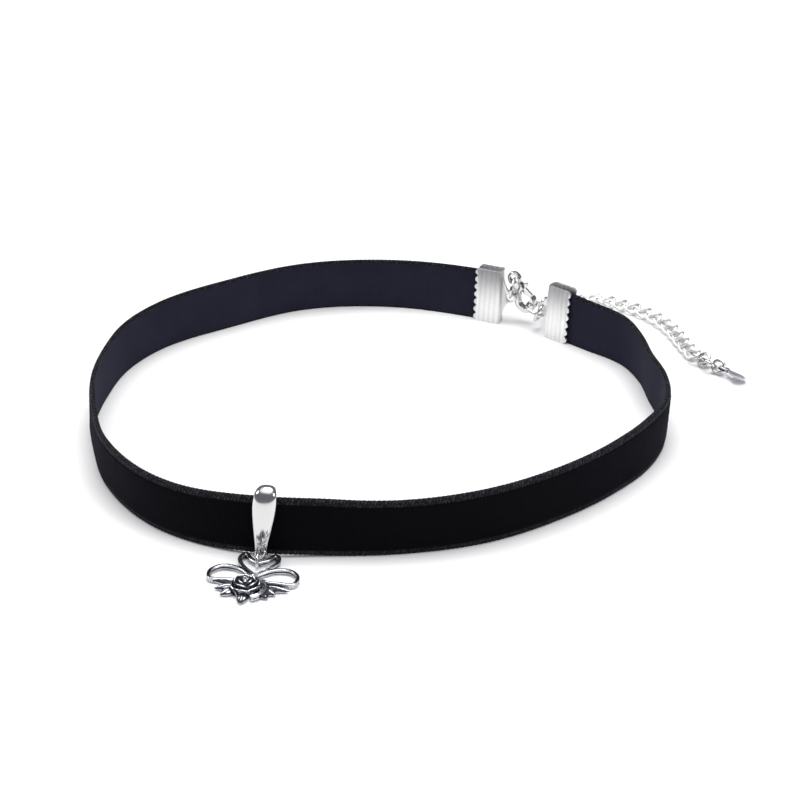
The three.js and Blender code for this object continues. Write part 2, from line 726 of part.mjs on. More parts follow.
// Cast pendant, lying flat: its own x to the right, y towards the bail and z up. The heart's notch
// is at the origin; lengths in the tables are shares of heartWidth, heartLength or wingReach.
function band(points, width, height, steps, closed = false) {
  const curve = new THREE.CatmullRomCurve3(points.map(([x, y]) => new THREE.Vector3(x, y, 0)), closed);
  const chamfer = width * 0.28;
  const rings = [];
  const count = closed ? steps : steps + 1;
  for (let i = 0; i < count; i++) {
    const point = curve.getPointAt(i / steps);
    const side = new THREE.Vector3().crossVectors(up, curve.getTangentAt(i / steps)).normalize();
    const at = (out, rise) => point.clone().addScaledVector(side, out).addScaledVector(up, rise);
    const half = width / 2;
    rings.push([at(-half, 0), at(half, 0), at(half, height - chamfer), at(half - chamfer, height),
      at(chamfer - half, height), at(-half, height - chamfer)]);
  }
  return loft(rings, closed);
}

function heartHalf(side) {
  const half = (heartWidth - bandWidth) / 2;
  return band([
    [-side * bandWidth * 0.25, -bandWidth * 0.25],
    [side * half * 0.42, heartLength * 0.13],
    [side * half * 0.76, heartLength * 0.33],
    [side * half * 0.99, heartLength * 0.2],
    [side * half * 0.96, 0],
    [side * half * 0.62, -heartLength * 0.27],
    [-side * bandWidth * 0.15, -heartLength * 0.6],
  ], bandWidth, bandHeight, 16);
}

function wing(side, share) {
  const reach = wingReach * share;
  const root = -heartLength * 0.7;
  return band([
    [side * bandWidth * 0.4, root],
    [side * reach * 0.42, root + reach * 0.38],
    [side * reach * 0.84, root + reach * 0.45],
    [side * reach * 1.09, root + reach * 0.26],
    [side * reach * 1.14, root + reach * 0.02],
    [side * reach * 1.04, root - reach * 0.18],
    [side * reach * 0.68, root - reach * 0.17],
    [side * reach * 0.3, root - reach * 0.13],
  ], bandWidth * 0.85, bandHeight, 22, true);
}

// A leaf cast with a raised rib, from its stem end along a direction in degrees
function leaf(x, y, heading, length, width) {
  const sections = [
    { along: 0, width: 0.3, rise: 0.8 },
    { along: 0.25, width: 0.85, rise: 1 },
    { along: 0.5, width: 1, rise: 1 },
    { along: 0.78, width: 0.6, rise: 0.8 },
    { along: 1, width: 0.08, rise: 0.45 },
  ];
  const ahead = new THREE.Vector3(Math.cos(heading * degrees), Math.sin(heading * degrees), 0);
  const side = new THREE.Vector3().crossVectors(up, ahead);
  return loft(sections.map((row) => {
    const middle = new THREE.Vector3(x, y, 0).addScaledVector(ahead, row.along * length);
    const at = (out, rise) => middle.clone()
      .addScaledVector(side, (out * row.width * width) / 2)
      .addScaledVector(up, rise * row.rise * leafThickness);
    return [at(-1, 0), at(1, 0), at(1, 0.55), at(0, 1.25), at(-1, 0.55)];
  }));
}

// A rose petal: a curved wall that flares outwards and is highest in its middle
function petal(centre, facing, spread, foot, rim, height) {
  const steps = 6;
  const wall = 0.38;
  const rings = [];
  for (let i = 0; i <= steps; i++) {
    const across = (2 * i) / steps - 1;
    const angle = (facing + (across * spread) / 2) * degrees;
    const rise = height * (1 - 0.35 * across * across);
    const at = (reach, z) => new THREE.Vector3(
      centre.x + Math.cos(angle) * reach,
      centre.y + Math.sin(angle) * reach,
      z,
    );
    rings.push([at(foot - wall, 0.2), at(foot, 0.1), at((foot + rim) / 2 + wall * 0.6, rise * 0.6),
      at(rim, rise), at(rim - wall, rise * 0.97), at((foot + rim) / 2 - wall * 0.5, rise * 0.62)]);
  }
  return loft(rings);
}

const roseCentre = new THREE.Vector3(-0.07 * heartWidth, -heartLength * 0.78 - roseReach, 0);

function roseBud() {
  const turns = 1.35;
  const steps = 20;
  const rings = [];
  for (let i = 0; i <= steps; i++) {
    const angle = (i / steps) * turns * 2 * Math.PI - 0.6;
    const reach = roseReach * (0.1 + (0.3 * i) / steps);
    const top = roseHeight * (1 - (0.14 * i) / steps);
    const at = (out, z) => new THREE.Vector3(
      roseCentre.x + Math.cos(angle) * (reach + out),
      roseCentre.y + Math.sin(angle) * (reach + out),
      z,
    );
    rings.push([at(-0.12, 0.3), at(0.16, 0.3), at(0.12, top), at(-0.1, top)]);
  }
  return loft(rings);
}

function rose() {
  const base = disc(roseReach * 0.86, bandHeight, roseCentre.x, roseCentre.y, 0.25)
    .translate(0, 0, bandHeight / 2);
  const inner = [100, 225, 340].map((facing) => petal(roseCentre, facing, 130,
    roseReach * 0.42, roseReach * 0.62, roseHeight * 0.86));
  const outer = [50, 140, 215, 285].map((facing) => petal(roseCentre, facing, 105,
    roseReach * 0.62, roseReach, roseHeight * 0.62));
  return [base, roseBud(), ...inner, ...outer];
}

// Room for the small ring round the notch: a groove under it, and a clear way before and behind
function ringRoom() {
  const side = fineWire / 2 + seatGap;
  const block = (from, to, height) => plate(shapeThrough([
    [-side, from],
    [side, from],
    [side, to],
    [-side, to],
  ]), 2 * height);
  const clear = 2 * bandWidth;
  return [
    block(-clear, clear, floorGap + fineWire + seatGap),
    block(bandWidth / 2, clear, 2 * bandHeight),
    block(-clear, -bandWidth / 2, 2 * bandHeight),
  ];
}

function pendant() {
  const { x, y } = roseCentre;
  const tail = band([
    [x + roseReach * 0.25, y + roseReach * 1.05],
    [x + roseReach * 0.95, y + roseReach * 0.72],
    [x + roseReach * 1.28, y - roseReach * 0.1],
    [x + roseReach * 1.08, y - roseReach * 0.82],
    [x + roseReach * 0.6, y - roseReach * 1.25],
  ], bandWidth, bandHeight * 1.15, 10);
  const leaves = [
    leaf(x - roseReach * 0.7, y + 1.35, 172, 4.8, 1.5),
    leaf(x - roseReach * 0.75, y + 0.5, 198, 3.4, 1.6),
    leaf(x - roseReach * 0.7, y - 0.4, 222, 2.8, 1.7),
    leaf(x, y - roseReach * 0.7, 270, 2.6, 1.7),
    leaf(x + roseReach * 1.05, y + 0.9, 352, 4.6, 1.4),
    leaf(x + roseReach * 1.1, y + 0.3, 330, 2.8, 1.6),
    leaf(x + roseReach * 1.05, y - 0.5, 308, 2.2, 1.6),
  ];
  const cast = joined([heartHalf(-1), heartHalf(1), wing(-1, 1), wing(1, 1), tail, ...leaves, ...rose()]);
  return piece("pendant", cut(cast, ringRoom()), darkSilver);
}

const bailTangent = wayTangent(bailTurn);
const bailFront = wayOut(bailTurn);
const tongueAt = wayPoint(bailTurn)
  .addScaledVector(bailFront, tongueHole)
  .addScaledVector(bailTangent, -bailAskew);
const ringLift = pendantRingReach + fineWire / 2 + floorGap;
const ringHalfSpan = Math.sqrt(pendantRingReach ** 2 - (ringLift - tongueHeight) ** 2);

function frontPieces() {
  const ringCentre = tongueAt.clone().addScaledVector(bailFront, ringHalfSpan).setZ(ringLift);
  const ring = place(piece("pendant_ring", roundRing(pendantRingReach, fineWire, 12), silver),
    ringCentre, bailFront, bailTangent);
  const notch = ringCentre.clone().setZ(0);
  const hang = place(pendant(), notch, bailTangent, up);
  const strap = place(bail(), wayPoint(bailTurn), bailTangent.clone().negate(), up);
  return [strap, ring, hang];
}

const necklace = new THREE.Group();
necklace.name = "choker_necklace";
necklace.add(
  ribbon(),
  clamp("clamp_left", leftFrame),
  clamp("clamp_right", rightFrame),
  ...hardware(),
  ...chain(),
  ...frontPieces(),
);

// The origin is the middle of the whole outline, on the table
const outline = new THREE.Box3().setFromObject(necklace, true);
const middle = outline.getCenter(new THREE.Vector3());
necklace.position.set(-middle.x, -middle.y, -outline.min.z);

export default necklace;
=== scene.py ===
import math

import bpy
import numpy as np
from mathutils import Matrix, Vector


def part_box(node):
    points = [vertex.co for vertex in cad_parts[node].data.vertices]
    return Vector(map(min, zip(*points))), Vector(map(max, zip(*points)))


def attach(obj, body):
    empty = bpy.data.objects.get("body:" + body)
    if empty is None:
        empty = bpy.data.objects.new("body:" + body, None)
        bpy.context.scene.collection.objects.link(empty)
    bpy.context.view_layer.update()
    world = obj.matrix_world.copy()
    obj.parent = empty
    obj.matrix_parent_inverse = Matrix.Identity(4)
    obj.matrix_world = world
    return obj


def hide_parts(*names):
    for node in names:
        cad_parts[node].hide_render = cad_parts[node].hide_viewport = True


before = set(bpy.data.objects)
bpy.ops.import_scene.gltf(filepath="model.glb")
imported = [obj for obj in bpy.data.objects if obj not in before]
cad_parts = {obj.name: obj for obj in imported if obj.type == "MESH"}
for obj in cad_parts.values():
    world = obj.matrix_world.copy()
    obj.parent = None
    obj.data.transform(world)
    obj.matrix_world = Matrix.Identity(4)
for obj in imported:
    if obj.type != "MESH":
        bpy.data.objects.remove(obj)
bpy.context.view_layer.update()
bpy.ops.object.select_all(action="DESELECT")
mm = 0.001

# The way that the velvet ribbon takes over the table.
# It is one strip of narrow velvet, cut to length and stood on its lower edge in an open loop, and
# its own stiffness holds it there. The bail lifts it a little where its foot passes under.
RIBBON_HEIGHT = 10 * mm
RIBBON_THICKNESS = 1 * mm
LOOP_REACH = 48.5 * mm
BAIL_TURN = 0.9
BAIL_LIFT = 0.48 * mm
BAIL_LIFT_SPREAD = 17 * mm
GAP_TURN = 164.8
END_GAP = 10.34 * mm
END_INSET = 0.55 * mm
WAY = (
    # turn round the loop in degrees, share of the loop's reach, lean of the top edge
    (0, 1.066, -0.073),
    (12, 1.007, -0.049),
    (26, 0.979, 0.027),
    (42, 0.971, 0.013),
    (60, 0.966, 0.019),
    (76, 0.989, 0.006),
    (88, 1.021, -0.002),
    (98, 1.035, 0.057),
    (108, 1.029, 0.001),
    (118, 1.008, -0.055),
    (127, 1.015, -0.061),
    (136, 1.009, -0.005),
    (146, 0.957, 0.061),
    (156, 0.932, 0.092),
    (166, 0.918, 0.105),
    (182, 0.906, 0.101),
    (202, 0.933, 0.006),
    (222, 0.964, -0.039),
    (242, 0.97, 0.005),
    (260, 1.038, -0.044),
    (272, 1.063, -0.047),
    (284, 1.065, -0.053),
    (296, 1.078, -0.063),
    (308, 1.079, -0.01),
    (322, 1.105, 0.052),
    (340, 1.117, 0.025),
)


def along_way(column, turn):
    """A column of the way's table, run smoothly between its rows."""
    count = len(WAY)
    wrapped = turn % 360
    i = max(n for n in range(count) if WAY[n][0] <= wrapped)
    at = [WAY[(i + n) % count][0] + 360 * ((i + n) // count) for n in (-1, 0, 1, 2)]
    value = [WAY[(i + n) % count][column] for n in (-1, 0, 1, 2)]
    span = at[2] - at[1]
    t = (wrapped - at[1]) / span
    leave = span * (value[2] - value[0]) / (at[2] - at[0])
    arrive = span * (value[3] - value[1]) / (at[3] - at[1])
    return (
        value[1] * (1 + 2 * t) * (1 - t) ** 2
        + leave * t * (1 - t) ** 2
        + value[2] * t * t * (3 - 2 * t)
        - arrive * t * t * (1 - t)
    )


def way_point(turn):
    """A point of the ribbon's lower edge, from the middle of the loop."""
    reach = LOOP_REACH * along_way(1, turn)
    return Vector((math.sin(math.radians(turn)), -math.cos(math.radians(turn)), 0)) * reach


def way_along(turn):
    """The way's direction at a turn, towards growing turns."""
    return (way_point(turn + 0.1) - way_point(turn - 0.1)).normalized()


def way_out(turn):
    """The direction out of the loop at a turn."""
    return way_along(turn).cross(Vector((0, 0, 1)))


def way_lift(turn):
    """How far the bail's foot lifts the ribbon off the table."""
    away = (way_point(turn) - way_point(BAIL_TURN)).length
    if away >= BAIL_LIFT_SPREAD:
        return 0
    return BAIL_LIFT * math.cos(math.radians(90 * away / BAIL_LIFT_SPREAD)) ** 2


half_gap_turn = math.degrees((END_GAP / 2 + END_INSET) / way_point(GAP_TURN).length)
first_turn = GAP_TURN + half_gap_turn - 360
last_turn = GAP_TURN - half_gap_turn

# The loop's middle in the frame comes from where the ribbon's solid stands
SLAB_SECTIONS = 133
slab_corners = [
    way_point(turn)
    + way_out(turn) * (side * RIBBON_THICKNESS / 2 + along_way(2, turn) * height)
    for turn in np.linspace(first_turn, last_turn, SLAB_SECTIONS)
    for side in (-1, 1)
    for height in (0, RIBBON_HEIGHT)
]
slab_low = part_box("ribbon")[0]
loop_middle = Vector((
    slab_low.x - min(corner.x for corner in slab_corners),
    slab_low.y - min(corner.y for corner in slab_corners),
    0,
))

# The camera looks down on the loop from the front and a little from its right, and is set by
# where the ribbon's edges and the pendant lie in the picture.
CAMERA_AIM = Vector((0.536 * mm, 6.148 * mm, 0))
CAMERA_RISE = math.radians(28)
CAMERA_TURN = math.radians(22)
CAMERA_DISTANCE = 409.05 * mm
CAMERA_LENS = 100.74
CAMERA_FILM = 36

aim = loop_middle + CAMERA_AIM
back = Vector((
    math.sin(CAMERA_TURN) * math.cos(CAMERA_RISE),
    -math.cos(CAMERA_TURN) * math.cos(CAMERA_RISE),
    math.sin(CAMERA_RISE),
))
bpy.ops.object.camera_add(location=aim + back * CAMERA_DISTANCE)
camera = bpy.context.object
camera.name = "camera"
camera.rotation_euler = back.to_track_quat("Z", "Y").to_euler()
camera.data.lens = CAMERA_LENS
camera.data.sensor_width = CAMERA_FILM
camera.data.clip_start = 0.01
bpy.context.scene.camera = camera

# A plain white table and soft studio light: one large lamp overhead, one to each side and a pale
# room all round.
FLOOR_HALF = 3
bpy.ops.mesh.primitive_plane_add(size=2 * FLOOR_HALF, location=(0, 0, 0))
floor = bpy.context.object
floor.name = "table"


class Value:
    """A socket of a material. A sum on it adds the nodes that work the sum out."""

    def __init__(self, tree, socket):
        self.tree = tree
        self.socket = socket

    def add(self, kind, settings, inputs, out=0):
        """Any node, with its settings and the values or links of its sockets."""
        made = self.tree.nodes.new(kind)
        stops = settings.get("stops")
        for name, value in settings.items():
            if name != "stops":
                setattr(made, name, value)
        if stops:
            ramp = made.color_ramp
            while len(ramp.elements) < len(stops):
                ramp.elements.new(0.5)
            for element, (position, color) in zip(ramp.elements, stops):
                element.position = position
                element.color = (*color, 1)
        for name, value in inputs.items():
            if isinstance(value, Value):
                self.tree.links.new(value.socket, made.inputs[name])
            else:
                made.inputs[name].default_value = value
        return Value(self.tree, made.outputs[out])

    def maths(self, operation, first, second=0.0):
        """A sum on one or two values or numbers."""
        return self.add("ShaderNodeMath", {"operation": operation}, {0: first, 1: second})

    def __add__(self, other):
        return self.maths("ADD", self, other)

    def __sub__(self, other):
        return self.maths("SUBTRACT", self, other)

    def __mul__(self, other):
        return self.maths("MULTIPLY", self, other)

    def __truediv__(self, other):
        return self.maths("DIVIDE", self, other)

    def __pow__(self, other):
        return self.maths("POWER", self, other)

    def wave(self):
        """A swell between 0 and 1 that repeats each time the value grows by 1."""
        return self.maths("COSINE", self * (2 * math.pi)) * 0.5 + 0.5

    def held(self):
        """The value kept between 0 and 1."""
        return self.add("ShaderNodeClamp", {}, {"Value": self})

    def noise(self, scale, detail=2.0):
        """Fine unevenness at this place, from 0 to 1."""
        return self.add(
            "ShaderNodeTexNoise", {}, {"Vector": self, "Scale": scale, "Detail": detail}, "Fac"
        )

    def mix(self, low, high):
        """One colour where the value is 0 and another where it is 1."""
        return self.add(
            "ShaderNodeMix",
            {"data_type": "RGBA"},
            {"Factor": self, "A": low, "B": high},
            "Result",
        )

    def bump(self, distance):
        """The value as a height, for a surface's Normal."""
        return self.add("ShaderNodeBump", {}, {"Height": self, "Distance": distance}, "Normal")


def material(name, color, roughness, metallic=0.0):
    """A new material, its shader, and the place on the object that its patterns start from."""
    made = bpy.data.materials.new(name)
    made.use_nodes = True
    shader = made.node_tree.nodes["Principled BSDF"]
    shader.inputs["Base Color"].default_value = (*color, 1)
    shader.inputs["Roughness"].default_value = roughness
    shader.inputs["Metallic"].default_value = metallic
    coordinates = made.node_tree.nodes.new("ShaderNodeTexCoord")
    return made, shader, Value(made.node_tree, coordinates.outputs["Object"])


def feed(shader, name, value):
    """Links a value to a socket of a material's shader."""
    value.tree.links.new(value.socket, shader.inputs[name])


table_white, shader, place = material("white table", (0.96, 0.96, 0.96), 0.6)
feed(shader, "Roughness", place.noise(60) * 0.1 + 0.55)
floor.data.materials.append(table_white)


def soft_lamp(name, stand, size, watts):
    """A round lamp that faces the necklace."""
    bpy.ops.object.light_add(type="AREA", location=stand)
    lamp = bpy.context.object
    lamp.name = name
    lamp.data.shape = "DISK"
    lamp.data.size = size
    lamp.data.energy = watts
    lamp.rotation_euler = (Vector(stand) - aim).to_track_quat("Z", "Y").to_euler()


soft_lamp("lamp_overhead", (0.0, 0.15, 0.9), 0.7, 4.6)
soft_lamp("lamp_left", (-0.8, -0.25, 0.5), 0.35, 2)
soft_lamp("lamp_right", (0.8, -0.1, 0.45), 0.3, 1.5)

# The room is pale above and has dark screens low down, which give polished metal its dark edges
room = bpy.data.worlds.new("pale room")
room.use_nodes = True
backdrop = room.node_tree.nodes["Background"]
sky_coordinates = room.node_tree.nodes.new("ShaderNodeTexCoord")
direction = Value(room.node_tree, sky_coordinates.outputs["Generated"])
height = direction.add("ShaderNodeSeparateXYZ", {}, {"Vector": direction}, "Z")
screens = height.add(
    "ShaderNodeValToRGB",
    {"stops": (
        (0.0, (1.1, 1.1, 1.1)),
        (0.03, (0.3, 0.3, 0.33)),
        (0.3, (0.22, 0.22, 0.25)),
        (0.72, (0.28, 0.28, 0.31)),
        (0.92, (2.0, 2.0, 2.0)),
        (1.0, (2.3, 2.3, 2.3)),
    )},
    {"Fac": height},
    "Color",
)
room.node_tree.links.new(screens.socket, backdrop.inputs["Color"])
backdrop.inputs["Strength"].default_value = 0.66
bpy.context.scene.world = room
bpy.context.scene.view_settings.view_transform = "Standard"
bpy.context.scene.view_settings.exposure = 0.2

# The ribbon: cotton velvet on a tight woven back, with a selvedge along both edges.
# The pile stands on the outer face only and stops short of the edges, where the weft turns round
# a thicker thread and leaves a row of small stitches.
STITCH = 0.8 * mm
STITCH_STEPS = 5
STITCH_DIP = 0.06 * mm
STITCH_SWELL = 0.02 * mm
STITCH_SLANT = 2.2 * mm
HEM_TOP = 0.5 * mm
TUFT = 0.014 * mm
PROFILE = (
    # out from the middle of the cloth and up from the lower edge, in mm, and what shows there
    (-0.50, 0.42, "back"), (-0.50, 1.8, "back"), (-0.50, 3.6, "back"), (-0.50, 5.0, "back"),
    (-0.50, 6.4, "back"), (-0.50, 8.2, "back"), (-0.50, 9.5, "back"), (-0.52, 9.72, "edge"),
    (-0.50, 9.95, "edge"), (-0.3, 10.05, "edge"), (0.05, 10.04, "edge"), (0.3, 9.93, "edge"),
    (0.4, 9.72, "edge"), (0.37, 9.45, "edge"), (0.35, 9.2, "edge"), (0.4, 9.06, "pile"),
    (0.48, 8.94, "pile"), (0.51, 8.74, "pile"), (0.52, 8.4, "pile"), (0.52, 8.0, "pile"),
    (0.52, 7.5, "pile"), (0.52, 7.0, "pile"), (0.52, 6.5, "pile"), (0.52, 6.0, "pile"),
    (0.52, 5.5, "pile"), (0.52, 5.0, "pile"), (0.52, 4.5, "pile"), (0.52, 4.0, "pile"),
    (0.52, 3.5, "pile"), (0.52, 3.0, "pile"), (0.52, 2.5, "pile"), (0.52, 2.0, "pile"),
    (0.52, 1.6, "pile"), (0.51, 1.26, "pile"), (0.48, 1.06, "pile"), (0.4, 0.94, "pile"),
    (0.35, 0.8, "edge"), (0.37, 0.55, "edge"), (0.4, 0.28, "edge"), (0.3, 0.07, "edge"),
    (0.05, 0.01, "edge"), (-0.3, 0.01, "edge"), (-0.50, 0.05, "edge"), (-0.52, 0.28, "edge"),
)

# Turns that are evenly spaced along the cloth
FINE_STEPS = 3000
fine_turns = np.linspace(first_turn, last_turn, FINE_STEPS)
fine_points = np.array([way_point(turn)[:2] for turn in fine_turns])
fine_spans = np.linalg.norm(np.diff(fine_points, axis=0), axis=1)
fine_lengths = np.concatenate([[0], np.cumsum(fine_spans)])
RIBBON_LENGTH = float(fine_lengths[-1])
ribbon_steps = int(RIBBON_LENGTH / STITCH * STITCH_STEPS)
lengths = np.linspace(0, RIBBON_LENGTH, ribbon_steps + 1)
turns = np.interp(lengths, fine_lengths, fine_turns)

offsets = np.array([[out, rise] for out, rise, _ in PROFILE]) * mm
shows = np.array([("back", "pile", "edge").index(what) for _, _, what in PROFILE])
stitch = 0.5 + 0.5 * np.cos(2 * math.pi * lengths / STITCH)
scatter = np.random.RandomState(11)
rows = []
for i, turn in enumerate(turns):
    out = np.array(way_out(turn))
    base = np.array(way_point(turn) + loop_middle) + np.array((0, 0, way_lift(turn)))
    lean = along_way(2, turn)
    side, rise = offsets[:, 0].copy(), offsets[:, 1].copy()
    upper = rise > RIBBON_HEIGHT / 2
    hem = shows == 2
    near_edge = hem & (np.minimum(rise, RIBBON_HEIGHT - rise) < HEM_TOP)
    dip = STITCH_DIP * (1 - stitch[i]) ** 1.5
    rise[near_edge] += np.where(upper[near_edge], -dip, dip)
    swell = STITCH_SWELL * np.cos(2 * math.pi * (lengths[i] / STITCH + rise / STITCH_SLANT))
    side[hem & (side > 0)] += swell[hem & (side > 0)]
    tufts = scatter.normal(0, TUFT, len(PROFILE))
    side[shows == 1] += tufts[shows == 1]
    points = base + np.outer(side + lean * rise, out)
    points[:, 2] += rise
    rows.append(points)
across = len(PROFILE)
vertices = np.concatenate(rows)
faces = [
    (here + j, here + (j + 1) % across, after + (j + 1) % across, after + j)
    for here, after in zip(range(0, len(vertices), across), range(across, len(vertices), across))
    for j in range(across)
]
ends = [tuple(range(across))[::-1], tuple(ribbon_steps * across + j for j in range(across))]
cloth = bpy.data.meshes.new("ribbon_cloth")
cloth.from_pydata(vertices.tolist(), [], faces + ends)
girth = np.concatenate([[0], np.cumsum(np.linalg.norm(np.diff(offsets, axis=0), axis=1))])
girth_end = girth[-1] + np.linalg.norm(offsets[0] - offsets[-1])
layout = cloth.uv_layers.new(name="cloth")
flat_places = []
for i in range(ribbon_steps):
    for j in range(across):
        right = girth[j + 1] if j + 1 < across else girth_end
        flat_places += [(lengths[i], girth[j]), (lengths[i], right)]
        flat_places += [(lengths[i + 1], right), (lengths[i + 1], girth[j])]
flat_places += [(0, girth[j]) for j in range(across)][::-1]
flat_places += [(RIBBON_LENGTH, girth[j]) for j in range(across)]
layout.data.foreach_set("uv", np.array(flat_places, float).ravel())
kinds = np.tile(np.where(shows == np.roll(shows, -1), shows, 2), ribbon_steps)
cloth.polygons.foreach_set("material_index", np.concatenate([kinds, [2, 2]]).astype(np.int32))
cloth.polygons.foreach_set("use_smooth", np.ones(len(cloth.polygons), bool))


def linked(name, data):
    """A new object in the scene that shows a mesh or curve."""
    made = bpy.data.objects.new(name, data)
    bpy.context.collection.objects.link(made)
    return made


ribbon = linked("ribbon_velvet", cloth)


def on_cloth(place):
    """How far along the cloth and how far round it, in millimetres, and the place as a vector."""
    flat = place.add("ShaderNodeUVMap", {"uv_map": "cloth"}, {}, "UV")
    along_it = flat.add("ShaderNodeSeparateXYZ", {}, {"Vector": flat}, "X")
    round_it = Value(flat.tree, along_it.socket.node.outputs["Y"])
    return along_it / mm, round_it / mm, flat


# Distances on the cloth's patterns, in mm
BACK_RIB = 0.34
BACK_PICK = 0.21
TWIST_PITCH = 0.55

woven_back, shader, place = material("woven back of velvet", (0.02, 0.021, 0.037), 0.8)
run, up, flat = on_cloth(place)
ribs = (run / BACK_RIB).wave()
picks = (up / BACK_PICK).wave()
threads = ribs * 0.7 + picks * 0.3
cloudy = flat.noise(160, 3.0)
worn = threads * 0.3 + cloudy * 0.7
feed(shader, "Base Color", worn.mix((0.0105, 0.0112, 0.02, 1), (0.0236, 0.0249, 0.0437, 1)))
feed(shader, "Normal", threads.bump(0.025 * mm))
shader.inputs["Specular IOR Level"].default_value = 0.06
shader.inputs["Sheen Weight"].default_value = 0.02
shader.inputs["Sheen Tint"].default_value = (0.45, 0.5, 0.8, 1)

velvet_pile, shader, place = material("black velvet pile", (0.0022, 0.0022, 0.0034), 0.95)
run, up, flat = on_cloth(place)
tufts = flat.noise(5200, 3.0)
brushed = flat.noise(130, 2.0)
nap = tufts * 0.6 + brushed * 0.4
feed(shader, "Base Color", nap.mix((0.0009, 0.0009, 0.0013, 1), (0.003, 0.0031, 0.0048, 1)))
feed(shader, "Normal", tufts.bump(0.12 * mm))
shader.inputs["Specular IOR Level"].default_value = 0.06
shader.inputs["Sheen Weight"].default_value = 0.05
shader.inputs["Sheen Roughness"].default_value = 0.4
shader.inputs["Sheen Tint"].default_value = (0.5, 0.52, 0.8, 1)

selvedge, shader, place = material("selvedge thread", (0.02, 0.021, 0.042), 0.6)
run, up, flat = on_cloth(place)
loose = flat.noise(1500, 3.0)
twist = (run / TWIST_PITCH + up * 0.7 + loose * 2.2).wave() ** 2
fibres = flat.noise(7000, 2.0)
specks = (twist * ((loose - 0.42) * 6).held() * 0.8 + fibres * 0.25).held()
feed(shader, "Base Color", specks.mix((0.0018, 0.0018, 0.0026, 1), (0.052, 0.053, 0.061, 1)))
feed(shader, "Normal", (twist * 0.8 + fibres * 0.2).bump(0.1 * mm))
shader.inputs["Specular IOR Level"].default_value = 0.05
shader.inputs["Sheen Weight"].default_value = 0.02
shader.inputs["Sheen Tint"].default_value = (0.6, 0.65, 1.0, 1)

for made in (woven_back, velvet_pile, selvedge):
    cloth.materials.append(made)
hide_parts("ribbon")
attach(ribbon, "necklace")

# The crimp plates and the clasp are pressed or cast and then plated. A copy of each solid is merged
# and its corners are rounded, as plating and tumbling leave them.
bright_plate, shader, place = material("bright silver plate", (0.645, 0.645, 0.64), 0.1, 1.0)
handling = place.noise(900, 3.0)
scratches = place.noise(9000, 2.0)
feed(shader, "Roughness", handling * 0.12 + 0.05)
feed(shader, "Normal", (handling * 0.7 + scratches * 0.3).bump(0.008 * mm))


def take(made):
    """Makes an object the active one and the only one that is selected."""
    bpy.ops.object.select_all(action="DESELECT")
    made.select_set(True)
    bpy.context.view_layer.objects.active = made


def merged_copy(node, name):
    """A copy of a node's solid with its corners joined, as an object of its own."""
    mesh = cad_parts[node].data.copy()
    mesh.materials.clear()
    made = linked(name, mesh)
    take(made)
    bpy.ops.object.mode_set(mode="EDIT")
    bpy.ops.mesh.select_all(action="SELECT")
    bpy.ops.mesh.remove_doubles(threshold=0.002 * mm)
    bpy.ops.mesh.dissolve_limited(angle_limit=math.radians(1))
    bpy.ops.object.mode_set(mode="OBJECT")
    return made


def rounded(made, width):
    """Rounds the corners of the active object and shades it smooth."""
    bevel = made.modifiers.new("rounding", "BEVEL")
    bevel.width = width
    bevel.segments = 2
    bevel.limit_method = "ANGLE"
    bevel.angle_limit = math.radians(25)
    bevel.harden_normals = False
    bpy.ops.object.modifier_apply(modifier=bevel.name)
    bpy.ops.object.shade_smooth_by_angle(angle=math.radians(40))


# The pressed sheet of the crimp plates is duller than the cast and wound pieces. A roller has left
# fine lines across it, and the crimping tool has left upright ones. These lines are bumped into the
# surface and also painted into its colour as lighter ridges and darker grooves, a painted highlight
# and painted shade, mixed with uneven worn tone.
ROLLER_PITCH = 0.42 * mm
CRIMP_PITCH = 1.0 * mm
pressed_plate, shader, place = material("pressed silver sheet", (0.74, 0.74, 0.735), 0.34, 1.0)
up_plate = place.add("ShaderNodeSeparateXYZ", {}, {"Vector": place}, "Z")
rolled = (up_plate / ROLLER_PITCH).wave()
along_plate = place.add(
    "ShaderNodeVectorMath",
    {"operation": "DOT_PRODUCT"},
    {0: place, 1: tuple(way_along(GAP_TURN))},
    "Value",
)
crimped = (along_plate / CRIMP_PITCH).wave() ** 0.5
worn = place.noise(700, 3.0)
# Painted highlight and shade: the colour is lighter on the roller and crimp ridges and darker in the
# grooves, mixed with worn tone
painted_ridge_light_and_wear = (rolled * 0.25 + crimped * 0.4 + worn * 0.35).held()
feed(shader, "Base Color", painted_ridge_light_and_wear.mix((0.58, 0.58, 0.58, 1), (0.88, 0.88, 0.875, 1)))
feed(shader, "Roughness", worn * 0.12 + 0.28)
feed(shader, "Normal", (rolled * 0.4 + crimped * 0.4 + worn * 0.2).bump(0.03 * mm))

for node in ("clamp_left", "clamp_right"):
    plate = merged_copy(node, node + "_plate")
    rounded(plate, 0.06 * mm)
    plate.data.materials.append(pressed_plate)
    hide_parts(node)
    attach(plate, "necklace")

for node, body in (("clasp_body", "necklace"), ("clasp_lever", "lever")):
    cast = merged_copy(node, node + "_cast")
    rounded(cast, 0.08 * mm)
    cast.data.materials.append(bright_plate)
    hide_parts(node)
    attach(cast, body)

# The jump rings: round wire wound on a rod, sawn off coil by coil and pinched shut, which leaves a
# fine seam in each. They are plated like the clasp.
RINGS = (
    # node, reach of the wire's middle, wire, turn of the seam
    ("left_ring", 1.95, 0.6, 200),
    ("right_ring", 1.75, 0.6, 150),
    ("catch_ring", 2.1, 0.65, 40),
    ("chain_ring", 1.4, 0.6, 100),
    ("end_ring", 1.5, 0.6, 60),
    ("end_link", 1.15, 0.6, 120),
    ("charm_ring", 1.5, 0.6, 250),
    ("charm_link", 1.15, 0.6, 30),
    ("pendant_ring", 1.06, 0.5, 90),
)
WIRE_SIDES = 14
RING_STEPS = 44
SEAM = 0.05


